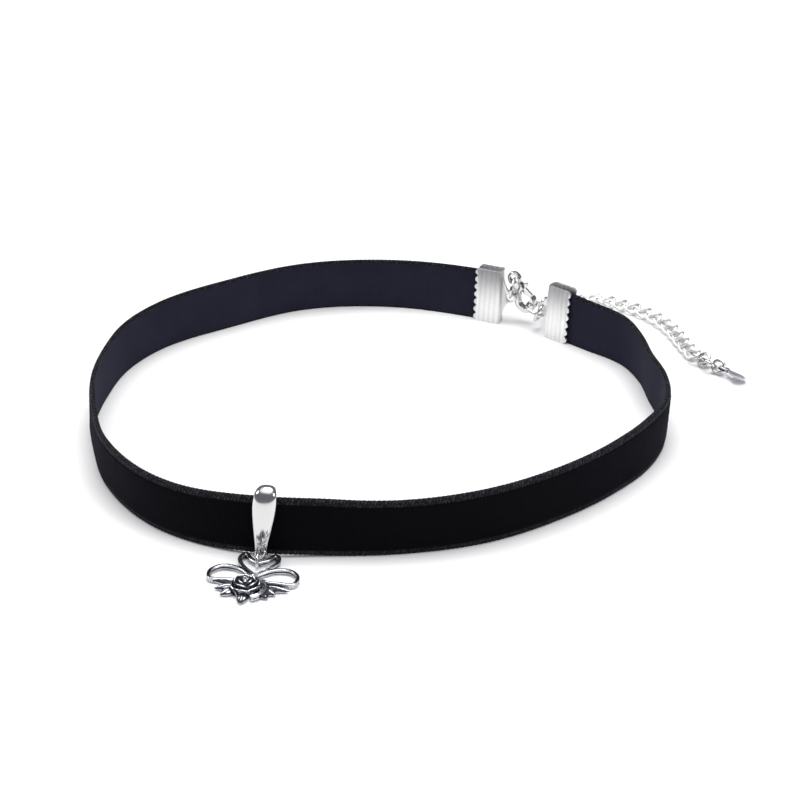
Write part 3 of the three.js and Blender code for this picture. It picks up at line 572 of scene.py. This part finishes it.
def stand_of(node):
    """Where a node's solid stands: its middle and, as a turn, its long, broad and flat ways."""
    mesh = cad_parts[node].data
    spots = np.unique(np.round([tuple(vertex.co) for vertex in mesh.vertices], 7), axis=0)
    middle = spots.mean(axis=0)
    ways = np.linalg.svd(spots - middle)[2]
    ways[2] = np.cross(ways[0], ways[1])
    turn = Matrix([list(way) for way in ways]).transposed().to_4x4()
    return Matrix.Translation(Vector(middle)) @ turn


def settle(made, stand):
    """Puts an object at a place, turned as the place is, and keeps both in its mesh."""
    take(made)
    made.matrix_world = stand
    bpy.ops.object.transform_apply(location=True, rotation=True, scale=True)


for node, reach, wire, seam_turn in RINGS:
    bpy.ops.object.select_all(action="DESELECT")
    bpy.ops.mesh.primitive_circle_add(
        vertices=WIRE_SIDES,
        radius=wire / 2 * mm,
        location=(reach * mm, 0, 0),
        rotation=(math.radians(90), 0, 0),
    )
    ring = bpy.context.object
    ring.name = node + "_wire"
    bpy.ops.object.transform_apply(location=True, rotation=True, scale=True)
    bpy.ops.object.mode_set(mode="EDIT")
    bpy.ops.mesh.select_all(action="SELECT")
    bpy.ops.mesh.spin(
        steps=RING_STEPS,
        angle=2 * math.pi - SEAM / reach,
        center=(0, 0, 0),
        axis=(0, 0, 1),
    )
    bpy.ops.mesh.select_all(action="SELECT")
    bpy.ops.mesh.fill_holes(sides=WIRE_SIDES)
    bpy.ops.mesh.select_all(action="SELECT")
    bpy.ops.mesh.normals_make_consistent(inside=False)
    bpy.ops.object.mode_set(mode="OBJECT")
    settle(ring, stand_of(node) @ Matrix.Rotation(math.radians(seam_turn), 4, "Z"))
    bpy.ops.object.shade_smooth_by_angle(angle=math.radians(40))
    ring.data.materials.append(bright_plate)
    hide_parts(node)
    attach(ring, "necklace")

# The extension chain: curb links of round wire, twisted so that each lies flat on the next, then
# filed flat on both faces and plated.
LINK_HALF_LENGTH = 1.8 * mm
LINK_HALF_WIDTH = 1.4 * mm
LINK_TWIST = 0.54 * mm
LINK_WIRE = 0.6 * mm
LINK_FLAT = 0.76 * mm
LINK_STEPS = 40


def rod(name, points, radii, closed=False, sides=4):
    """A bent rod of round metal through a table of points, with a radius at each."""
    curve = bpy.data.curves.new(name, "CURVE")
    curve.dimensions = "3D"
    curve.bevel_depth = 1 * mm
    curve.bevel_resolution = sides
    curve.use_fill_caps = True
    line = curve.splines.new("POLY")
    line.points.add(len(points) - 1)
    for spot, point, radius in zip(line.points, points, radii):
        spot.co = (*point, 1)
        spot.radius = radius / mm
    line.use_cyclic_u = closed
    take(linked(name, curve))
    bpy.ops.object.convert(target="MESH")
    return bpy.context.object


chain_wire, shader, place = material("tumbled silver wire", (0.82, 0.82, 0.815), 0.34, 1.0)
tumbled = place.noise(800, 3.0)
feed(shader, "Roughness", tumbled * 0.12 + 0.28)
feed(shader, "Normal", tumbled.bump(0.01 * mm))

link_turns = [2 * math.pi * i / LINK_STEPS for i in range(LINK_STEPS)]
first_link = rod(
    "curb_link",
    [
        (
            math.cos(turn) * LINK_HALF_LENGTH,
            math.sin(turn) * LINK_HALF_WIDTH,
            math.sin(2 * turn) * LINK_TWIST,
        )
        for turn in link_turns
    ],
    [LINK_WIRE / 2] * LINK_STEPS,
    closed=True,
)
bpy.ops.object.mode_set(mode="EDIT")
for side in (1, -1):
    bpy.ops.mesh.select_all(action="SELECT")
    bpy.ops.mesh.bisect(
        plane_co=(0, 0, side * LINK_FLAT),
        plane_no=(0, 0, side),
        use_fill=True,
        clear_outer=True,
        threshold=0.0001 * mm,
    )
bpy.ops.object.mode_set(mode="OBJECT")
link_nodes = sorted(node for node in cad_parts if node.startswith("link_"))
for node in link_nodes:
    link = first_link
    if node != link_nodes[-1]:
        link = linked(node, first_link.data.copy())
    link.name = node + "_wire"
    settle(link, stand_of(node))
    bpy.ops.object.shade_smooth_by_angle(angle=math.radians(30))
    link.data.materials.append(chain_wire)
    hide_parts(node)
    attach(link, "necklace")

# The bail: one strip pressed to a dome and folded round the ribbon, bright plated, with a small
# cast sprig near its foot. The foot ends in a tongue with a hole for the small ring.
BAIL_HALF = 1.15 * mm
BAIL_TOP = 12.15 * mm
BAIL_ASKEW = 0.8 * mm
TONGUE_HEIGHT = 1.75 * mm
TONGUE_HOLE = 2.55 * mm
TONGUE_BORE = 0.6 * mm
TONGUE_RIM = 0.35 * mm
TONGUE_SHEET = 0.5 * mm
TONGUE_EDGE = 0.09 * mm
STRIP = (
    # share of the bail's half depth to the front, plus mm; share of its height, plus mm; width;
    # crown; half the sheet
    (1, 0.5, 0, 1.75, 2, 0.22, 0.3),
    (1, 0.48, 0.06, 1.75, 2.05, 0.3, 0.34),
    (1, 0.58, 0.34, 0, 2.6, 0.42, 0.35),
    (1, 0.45, 0.54, 0, 3.44, 0.52, 0.35),
    (1, 0.3, 0.74, 0, 4, 0.52, 0.35),
    (1, 0.16, 0.88, 0, 4, 0.5, 0.35),
    (0.75, 0, 0.975, 0, 3.6, 0.5, 0.35),
    (0, 0, 1, 0, 3.1, 0.42, 0.35),
    (-0.8, 0, 0.965, 0, 2.7, 0.2, 0.35),
    (-1, 0, 0.88, 0, 2.6, 0.05, 0.35),
    (-1, 0, 0.5, 0, 2.4, 0.05, 0.35),
    (-1, 0, 0.1, 0, 2, 0.05, 0.35),
    (-0.7, 0, 0, 0.2, 2, 0, 0.16),
    (0.7, 0, 0, 0.2, 2, 0, 0.16),
    (1, 0.35, 0, 0.87, 2, 0, 0.3),
)
bail_place = way_point(BAIL_TURN) + loop_middle
bail_out = way_out(BAIL_TURN)
bail_along = way_along(BAIL_TURN)
bail_lean = along_way(2, BAIL_TURN)
bail_slant = BAIL_ASKEW / (BAIL_TOP - TONGUE_HEIGHT)


def on_bail(left, front, rise):
    """A place on the bail: left along the ribbon, out of the loop and up, with its lean and slant."""
    left = left + bail_slant * (BAIL_TOP - rise)
    front = front + bail_lean * (rise - TONGUE_HEIGHT)
    return bail_place - bail_along * left + bail_out * front + Vector((0, 0, rise))


strip_places = []
strip_middles = [
    Vector((depth * BAIL_HALF + ahead * mm, share * BAIL_TOP + lift * mm))
    for depth, ahead, share, lift, _, _, _ in STRIP
]
for i, (_, _, _, _, width, crown, sheet) in enumerate(STRIP):
    before, after = strip_middles[i - 1], strip_middles[(i + 1) % len(STRIP)]
    forward = (after - before).normalized()
    face = Vector((forward.y, -forward.x))
    for side, depth in (
        (-0.98, -sheet), (0, -sheet), (0.98, -sheet), (1, -sheet * 0.3), (0.96, sheet * 0.5),
        (0.6, sheet + crown * 0.75), (0, sheet + crown), (-0.6, sheet + crown * 0.75),
        (-0.96, sheet * 0.5), (-1, -sheet * 0.3),
    ):
        at = strip_middles[i] + face * depth * mm
        strip_places.append(on_bail(side * width / 2 * mm, at.x, at.y))
round_strip = len(strip_places) // len(STRIP)
strip_starts = list(range(0, len(strip_places), round_strip))
strip_mesh = bpy.data.meshes.new("bail_strip")
strip_mesh.from_pydata(
    [tuple(place) for place in strip_places],
    [],
    [
        (here + j, after + j, after + (j + 1) % round_strip, here + (j + 1) % round_strip)
        for here, after in zip(strip_starts, strip_starts[1:] + strip_starts[:1])
        for j in range(round_strip)
    ],
)
strip = linked("bail_strip", strip_mesh)
take(strip)
soften = strip.modifiers.new("soften", "SUBSURF")
soften.levels = 3
soften.render_levels = 3
bpy.ops.object.modifier_apply(modifier=soften.name)
bpy.ops.object.mode_set(mode="EDIT")
bpy.ops.mesh.select_all(action="SELECT")
bpy.ops.mesh.normals_make_consistent(inside=False)
bpy.ops.object.mode_set(mode="OBJECT")

# The tongue is a washer with a short stem, both stamped with the strip
tongue_turn = Matrix((
    (-bail_along.x, bail_out.x, 0, 0),
    (-bail_along.y, bail_out.y, 0, 0),
    (0, 0, 1, 0),
    (0, 0, 0, 1),
))
tongue_place = Matrix.Translation(on_bail(0, TONGUE_HOLE, TONGUE_HEIGHT)) @ tongue_turn
bpy.ops.object.select_all(action="DESELECT")
bpy.ops.mesh.primitive_plane_add(size=1, rotation=(math.radians(90), 0, 0))
washer = bpy.context.object
bpy.ops.object.transform_apply(location=True, rotation=True, scale=True)
bpy.ops.object.mode_set(mode="EDIT")
bpy.ops.mesh.select_all(action="SELECT")
bpy.ops.mesh.delete(type="ONLY_FACE")
bpy.ops.mesh.select_all(action="SELECT")
bpy.ops.transform.resize(value=(TONGUE_RIM, 1, TONGUE_SHEET))
bpy.ops.transform.translate(value=(TONGUE_BORE + TONGUE_RIM / 2, 0, 0))
bpy.ops.mesh.spin(steps=36, angle=2 * math.pi, center=(0, 0, 0), axis=(0, 0, 1))
bpy.ops.mesh.select_all(action="SELECT")
bpy.ops.mesh.remove_doubles(threshold=0.001 * mm)
bpy.ops.mesh.normals_make_consistent(inside=False)
bpy.ops.object.mode_set(mode="OBJECT")
rounded(washer, TONGUE_EDGE)
settle(washer, tongue_place)
bpy.ops.object.select_all(action="DESELECT")
bpy.ops.mesh.primitive_cube_add(size=1)
stem = bpy.context.object
stem.scale = (2 * TONGUE_BORE + TONGUE_RIM, TONGUE_RIM, TONGUE_SHEET)
stem.location = (0, -TONGUE_BORE - TONGUE_RIM / 2, 0)
bpy.ops.object.transform_apply(location=True, rotation=True, scale=True)
rounded(stem, TONGUE_EDGE)
settle(stem, tongue_place)

# A sprig, cast on the strip's front near the foot: a slanting stalk in three lengths, three leaves
SPRIG_STEPS = 6
sprigs = []
for right, foot_rise, heading, length in (
    (-0.3, 2.3, 58, 1.5),
    (0.2, 3.1, 56, 1.4),
    (0.6, 3.9, 64, 1.7),
    (0.45, 3.5, 96, 1.2),
    (-0.1, 2.7, 108, 0.8),
    (0.9, 4.5, 96, 1.0),
):
    shares = [i / SPRIG_STEPS for i in range(SPRIG_STEPS + 1)]
    turned = math.radians(heading)
    laid = []
    for share in shares:
        out_right = (right + math.cos(turned) * length * share) * mm
        out_up = (foot_rise + math.sin(turned) * length * share) * mm
        laid.append(strip.ray_cast(on_bail(-out_right, RIBBON_HEIGHT, out_up), -bail_out)[1])
    sprigs.append(rod(
        "sprig",
        [tuple(spot) for spot in laid],
        [(0.05 + 0.1 * math.sin(math.pi * share)) * mm for share in shares],
        sides=3,
    ))


def joined(name, parts):
    """Joins objects into the first one, which gets the name."""
    bpy.ops.object.select_all(action="DESELECT")
    for part in parts:
        part.select_set(True)
    bpy.context.view_layer.objects.active = parts[0]
    bpy.ops.object.join()
    bpy.context.object.name = name
    return bpy.context.object


bail = joined("bail_pressed", [strip, washer, stem, *sprigs])
bpy.ops.object.shade_smooth_by_angle(angle=math.radians(45))
bail.data.materials.clear()
bail.data.materials.append(bright_plate)
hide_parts("bail")
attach(bail, "necklace")

# The pendant: a heart over a rose between two looped ribbons and seven leaves, cast in one piece.
# It is dipped to blacken it and then rubbed bright, so black stays in the hollows and on the sides.
HEART_WIDTH = 7
HEART_LENGTH = 6.4
BAND = 0.74
BAND_HEIGHT = 1.05
WING_REACH = 6.3
ROSE = 2.35
ROSE_HEIGHT = 2.7
RIM_WIRE = 0.17
LEAF = (
    # share of the leaf's length, share of its width
    (0, 0.3), (0.12, 0.6), (0.25, 0.85), (0.4, 1), (0.55, 0.97), (0.7, 0.75), (0.85, 0.42), (1, 0.06),
)
LEAF_RISE = 0.42
LEAF_CROWN = 0.4
MIDRIB_RISE = 0.45
rose_x = -0.07 * HEART_WIDTH
rose_y = -0.78 * HEART_LENGTH - ROSE


def smooth_run(points, steps, closed=False):
    """Even steps along a smooth curve through a table of points."""
    spots = np.array(points, float)
    count = len(spots)
    if closed:
        spots = np.concatenate([spots[-1:], spots, spots[:2]])
    else:
        spots = np.concatenate([2 * spots[:1] - spots[1:2], spots, 2 * spots[-1:] - spots[-2:-1]])
    spans = count if closed else count - 1
    run = []
    for step in range(steps if closed else steps + 1):
        at = min(step / steps * spans, spans - 1e-6)
        i = int(at)
        t = at - i
        a, b, c, d = spots[i:i + 4]
        run.append(0.5 * (2 * b + (c - a) * t + (2 * a - 5 * b + 4 * c - d) * t ** 2
                          + (3 * b - a - 3 * c + d) * t ** 3))
    return run


def band(points, width, height, steps, closed=False):
    """A cast band that lies on the table: a domed strap with a fine raised rim on each side."""
    run = smooth_run([(x, y, 0) for x, y in points], steps, closed)
    made = []
    for side, rise, radius in (
        (0, height * 0.62, width * 0.4),
        (1, height * 0.82, RIM_WIRE),
        (-1, height * 0.82, RIM_WIRE),
    ):
        spots = []
        for i, spot in enumerate(run):
            after = run[(i + 1) % len(run)] if closed or i + 1 < len(run) else spot
            before = run[i - 1] if closed or i else spot
            ahead = after - before
            ahead /= np.linalg.norm(ahead)
            across = np.array((-ahead[1], ahead[0], 0))
            spots.append(tuple((spot + across * side * (width / 2 - radius) + (0, 0, rise)) * mm))
        made.append(rod("band", spots, [radius * mm] * len(spots), closed))
    # the body under the dome, down to the table
    spots = [tuple((spot + (0, 0, height * 0.3)) * mm) for spot in run]
    made.append(rod("band", spots, [width * 0.42 * mm] * len(spots), closed))
    return made


def leaf(x, y, heading, length, width):
    """A pointed leaf with a raised midrib and veins."""
    ahead = np.array((math.cos(math.radians(heading)), math.sin(math.radians(heading)), 0))
    across = np.array((-ahead[1], ahead[0], 0))
    stem = np.array((x, y, 0))
    made = []
    for side in (-1, 1):
        spots = []
        for share, wide in LEAF:
            spot = stem + ahead * share * length + across * side * wide * width * 0.24
            spots.append(tuple((spot + (0, 0, LEAF_RISE)) * mm))
        made.append(rod("leaf", spots, [max(wide * width * 0.27, 0.06) * mm for _, wide in LEAF]))
    spots = []
    for share, wide in LEAF:
        rise = MIDRIB_RISE + LEAF_CROWN * wide
        spots.append(tuple((stem + ahead * share * length + (0, 0, rise)) * mm))
    made.append(rod("midrib", spots, [0.12 * mm] * len(spots)))
    for share, wide in LEAF[1:6]:
        for side in (-1, 1):
            start = stem + ahead * share * length + (0, 0, LEAF_RISE + LEAF_CROWN * wide)
            end = start + (ahead * 0.5 + across * side * 0.8) * wide * width * 0.5 - (0, 0, 0.28)
            made.append(rod("vein", [tuple(start * mm), tuple(end * mm)], [0.08 * mm, 0.05 * mm]))
    return made


PETAL_STEPS = 6


def petal(facing, spread, reach, height, thick):
    """The rolled rim of a petal, highest in its middle, with its wall below."""
    made = []
    for drop, inset, radius in ((0, 0, thick), (0.35, 0.16, thick), (0.7, 0.3, thick * 0.9)):
        spots = []
        for i in range(2 * PETAL_STEPS + 1):
            across = i / PETAL_STEPS - 1
            angle = math.radians(facing + across * spread / 2)
            out = (reach - inset) * (1 - 0.04 * across ** 2 + 0.09 * across)
            rise = height * (1 - 0.32 * across ** 2) - drop
            spots.append(tuple(np.array((
                rose_x + math.cos(angle) * out,
                rose_y + math.sin(angle) * out,
                max(rise, 0.3),
            )) * mm))
        made.append(rod("petal", spots, [radius * mm] * len(spots)))
    return made


def mound(reach, height):
    """A rounded mound that carries the rose's petals."""
    bpy.ops.object.select_all(action="DESELECT")
    bpy.ops.mesh.primitive_uv_sphere_add(segments=32, ring_count=16, radius=1)
    made = bpy.context.object
    made.scale = (reach * mm, reach * mm, height * mm)
    made.location = (rose_x * mm, rose_y * mm, 0)
    bpy.ops.object.transform_apply(location=True, rotation=True, scale=True)
    return [made]


heart_half = (HEART_WIDTH - BAND) / 2
wing_root = -0.7 * HEART_LENGTH
cast_parts = []
for side in (-1, 1):
    cast_parts += band([
        (-side * BAND * 0.25, -BAND * 0.25),
        (side * heart_half * 0.42, HEART_LENGTH * 0.13),
        (side * heart_half * 0.76, HEART_LENGTH * 0.37),
        (side * heart_half * 0.99, HEART_LENGTH * 0.23),
        (side * heart_half * 0.96, 0),
        (side * heart_half * 0.62, -HEART_LENGTH * 0.27),
        (-side * BAND * 0.15, -HEART_LENGTH * 0.6),
    ], BAND, BAND_HEIGHT, 40)
    cast_parts += band([
        (side * BAND * 0.4, wing_root),
        (side * WING_REACH * 0.42, wing_root + WING_REACH * 0.38),
        (side * WING_REACH * 0.84, wing_root + WING_REACH * 0.45),
        (side * WING_REACH * 1.09, wing_root + WING_REACH * 0.26),
        (side * WING_REACH * 1.14, wing_root + WING_REACH * 0.02),
        (side * WING_REACH * 1.04, wing_root - WING_REACH * 0.18),
        (side * WING_REACH * 0.68, wing_root - WING_REACH * 0.17),
        (side * WING_REACH * 0.3, wing_root - WING_REACH * 0.13),
    ], BAND * 0.85, BAND_HEIGHT, 72, closed=True)
cast_parts += band([
    (rose_x + ROSE * 0.25, rose_y + ROSE * 1.05),
    (rose_x + ROSE * 0.95, rose_y + ROSE * 0.72),
    (rose_x + ROSE * 1.28, rose_y - ROSE * 0.1),
    (rose_x + ROSE * 1.08, rose_y - ROSE * 0.82),
    (rose_x + ROSE * 0.6, rose_y - ROSE * 1.25),
], BAND, BAND_HEIGHT * 1.15, 28)
for x, y, heading, length, width in (
    (-ROSE * 0.7, 1.35, 172, 4.8, 1.5),
    (-ROSE * 0.75, 0.5, 198, 3.4, 1.6),
    (-ROSE * 0.7, -0.4, 222, 2.8, 1.7),
    (0, -ROSE * 0.7, 270, 2.6, 1.7),
    (ROSE * 1.05, 0.9, 352, 4.6, 1.4),
    (ROSE * 1.1, 0.3, 330, 2.8, 1.6),
    (ROSE * 1.05, -0.5, 308, 2.2, 1.6),
):
    cast_parts += leaf(rose_x + x, rose_y + y, heading, length, width)
cast_parts += mound(ROSE * 0.95, 1.3) + mound(ROSE * 0.64, 1.75) + mound(ROSE * 0.4, 2.15)
for facing in (30, 110, 190, 262, 325):
    cast_parts += petal(facing, 104, ROSE * 0.98, ROSE_HEIGHT * 0.6, 0.14)
for facing in (70, 160, 250, 340):
    cast_parts += petal(facing, 122, ROSE * 0.72, ROSE_HEIGHT * 0.78, 0.13)
for facing in (100, 225, 340):
    cast_parts += petal(facing, 140, ROSE * 0.47, ROSE_HEIGHT * 0.88, 0.11)
# The bud is one petal rolled into a spiral
BUD_STEPS = 30
BUD_TURNS = 1.35
bud = []
for i in range(BUD_STEPS + 1):
    angle = i / BUD_STEPS * BUD_TURNS * 2 * math.pi - 0.6
    reach = ROSE * (0.07 + 0.18 * i / BUD_STEPS)
    bud.append(tuple(np.array((
        rose_x + math.cos(angle) * reach,
        rose_y + math.sin(angle) * reach,
        ROSE_HEIGHT * (0.95 - 0.06 * i / BUD_STEPS),
    )) * mm))
cast_parts.append(rod("bud", bud, [0.11 * mm] * len(bud)))
pendant = joined("pendant_cast", cast_parts)


def cast_as_one(made, grain, floor_cut=True):
    """Melts the joined parts into one casting with an even fine mesh, flat on its back."""
    take(made)
    melt = made.modifiers.new("melt", "REMESH")
    melt.mode = "VOXEL"
    melt.voxel_size = grain
    bpy.ops.object.modifier_apply(modifier=melt.name)
    if floor_cut:
        bpy.ops.object.mode_set(mode="EDIT")
        bpy.ops.mesh.select_all(action="SELECT")
        bpy.ops.mesh.bisect(
            plane_co=(0, 0, 0.02 * mm),
            plane_no=(0, 0, -1),
            use_fill=True,
            clear_outer=True,
            threshold=0.0001 * mm,
        )
        bpy.ops.object.mode_set(mode="OBJECT")


def carve(made, low, high):
    """Takes a block, given by two corners in mm, out of the active object."""
    bpy.ops.object.select_all(action="DESELECT")
    bpy.ops.mesh.primitive_cube_add(size=1)
    block = bpy.context.object
    block.scale = [(b - a) * mm for a, b in zip(low, high)]
    block.location = [(a + b) / 2 * mm for a, b in zip(low, high)]
    bpy.ops.object.transform_apply(location=True, rotation=True, scale=True)
    take(made)
    cutter = made.modifiers.new("cutter", "BOOLEAN")
    cutter.operation = "DIFFERENCE"
    cutter.solver = "EXACT"
    cutter.object = block
    bpy.ops.object.modifier_apply(modifier=cutter.name)
    bpy.data.objects.remove(block)


RIM_ROUNDS = 9
STEEP_MOST = 0.55


def find_recesses(made, rounds, depth, side_from, below):
    """Notes on each corner how far it lies in a hollow, under a rim near it or on a steep side."""
    mesh = made.data
    spots = np.empty(len(mesh.vertices) * 3)
    mesh.vertices.foreach_get("co", spots)
    spots = spots.reshape(-1, 3)
    normals = np.empty(len(mesh.vertices) * 3)
    mesh.vertices.foreach_get("normal", normals)
    normals = normals.reshape(-1, 3)
    ends = np.empty(len(mesh.edges) * 2, np.int64)
    mesh.edges.foreach_get("vertices", ends)
    one, other = ends.reshape(-1, 2).T
    count = len(spots)
    near = np.maximum(np.bincount(one, minlength=count) + np.bincount(other, minlength=count), 1)
    eased = spots.copy()
    hollow = np.zeros(count)
    for done in range(max(rounds)):
        total = np.stack([
            np.bincount(one, eased[other, axis], count) + np.bincount(other, eased[one, axis], count)
            for axis in range(3)
        ], axis=1)
        eased = total / near[:, None]
        if done + 1 in rounds:
            hollow += ((eased - spots) * normals).sum(axis=1) / (depth * rounds[done + 1])
    steep = (side_from - normals[:, 2]) / 0.5
    rim = spots[:, 2].copy()
    for _ in range(RIM_ROUNDS):
        higher = rim.copy()
        np.maximum.at(higher, one, rim[other])
        np.maximum.at(higher, other, rim[one])
        rim = higher
    sunk = (rim - spots[:, 2]) / below
    layer = mesh.attributes.new("recess", "FLOAT", "POINT")
    kept_black = np.maximum(np.clip(0.5 + hollow, 0, 1), np.clip(steep, 0, STEEP_MOST))
    kept_black = np.maximum(kept_black, np.clip(sunk, 0, 1) * (normals[:, 2] > 0.2))
    layer.data.foreach_set("value", kept_black.astype(np.float32))


cast_as_one(pendant, 0.085 * mm)
# Room for the small ring, under the heart's cleft and before and behind it
RING_ROOM = 0.4
RING_REACH = 1.7
RING_RISE = 0.69
carve(pendant, (-RING_ROOM, -RING_REACH, -1), (RING_ROOM, RING_REACH, RING_RISE))
carve(pendant, (-RING_ROOM, BAND / 2, -1), (RING_ROOM, RING_REACH, ROSE_HEIGHT))
carve(pendant, (-RING_ROOM, -RING_REACH, -1), (RING_ROOM, -BAND / 2, ROSE_HEIGHT))
ease = pendant.modifiers.new("ease", "SMOOTH")
ease.factor = 0.5
ease.iterations = 2
bpy.ops.object.modifier_apply(modifier=ease.name)
ring_low, ring_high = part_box("pendant_ring")
notch = (ring_low + ring_high) / 2
notch.z = 0
settle(pendant, Matrix.Translation(notch) @ Matrix((
    (bail_along.x, -bail_out.x, 0, 0),
    (bail_along.y, -bail_out.y, 0, 0),
    (0, 0, 1, 0),
    (0, 0, 0, 1),
)))
find_recesses(pendant, {12: 1, 60: 5}, 0.026 * mm, 0.75, 0.26 * mm)
bpy.ops.object.shade_smooth_by_angle(angle=math.radians(60))


def blackened(name, rubbed):
    """Cast silver that is black in its recesses and rubbed to a given roughness elsewhere."""
    made, shader, place = material(name, (0.5, 0.51, 0.53), 0.2, 1.0)
    recess = place.add("ShaderNodeAttribute", {"attribute_name": "recess"}, {}, "Fac")
    stain = place.noise(700, 3.0)
    black = ((recess - 0.49 + (stain - 0.5) * 0.16) * 4.5).held()
    feed(shader, "Base Color", black.mix((0.74, 0.75, 0.79, 1), (0.017, 0.018, 0.031, 1)))
    feed(shader, "Roughness", black * 0.35 + stain * 0.12 + rubbed)
    feed(shader, "Metallic", black * -0.6 + 1.0)
    feed(shader, "Normal", place.noise(5200, 2.0).bump(0.01 * mm))
    return made


pendant.data.materials.clear()
pendant.data.materials.append(blackened("blackened cast silver", 0.1))
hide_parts("pendant")
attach(pendant, "necklace")

# The charm at the chain's end: a little cast leaf with its own eye, blackened like the pendant and
# rubbed to a softer shine.
charm = merged_copy("charm", "charm_cast")
cast_as_one(charm, 0.055 * mm, floor_cut=False)
soft = charm.modifiers.new("soft", "SMOOTH")
soft.factor = 0.5
soft.iterations = 3
bpy.ops.object.modifier_apply(modifier=soft.name)
find_recesses(charm, {12: 1, 40: 4}, 0.03 * mm, 0.45, 0.45 * mm)
bpy.ops.object.shade_smooth_by_angle(angle=math.radians(60))
charm.data.materials.clear()
charm.data.materials.append(blackened("blackened charm silver", 0.3))
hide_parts("charm")
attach(charm, "necklace")
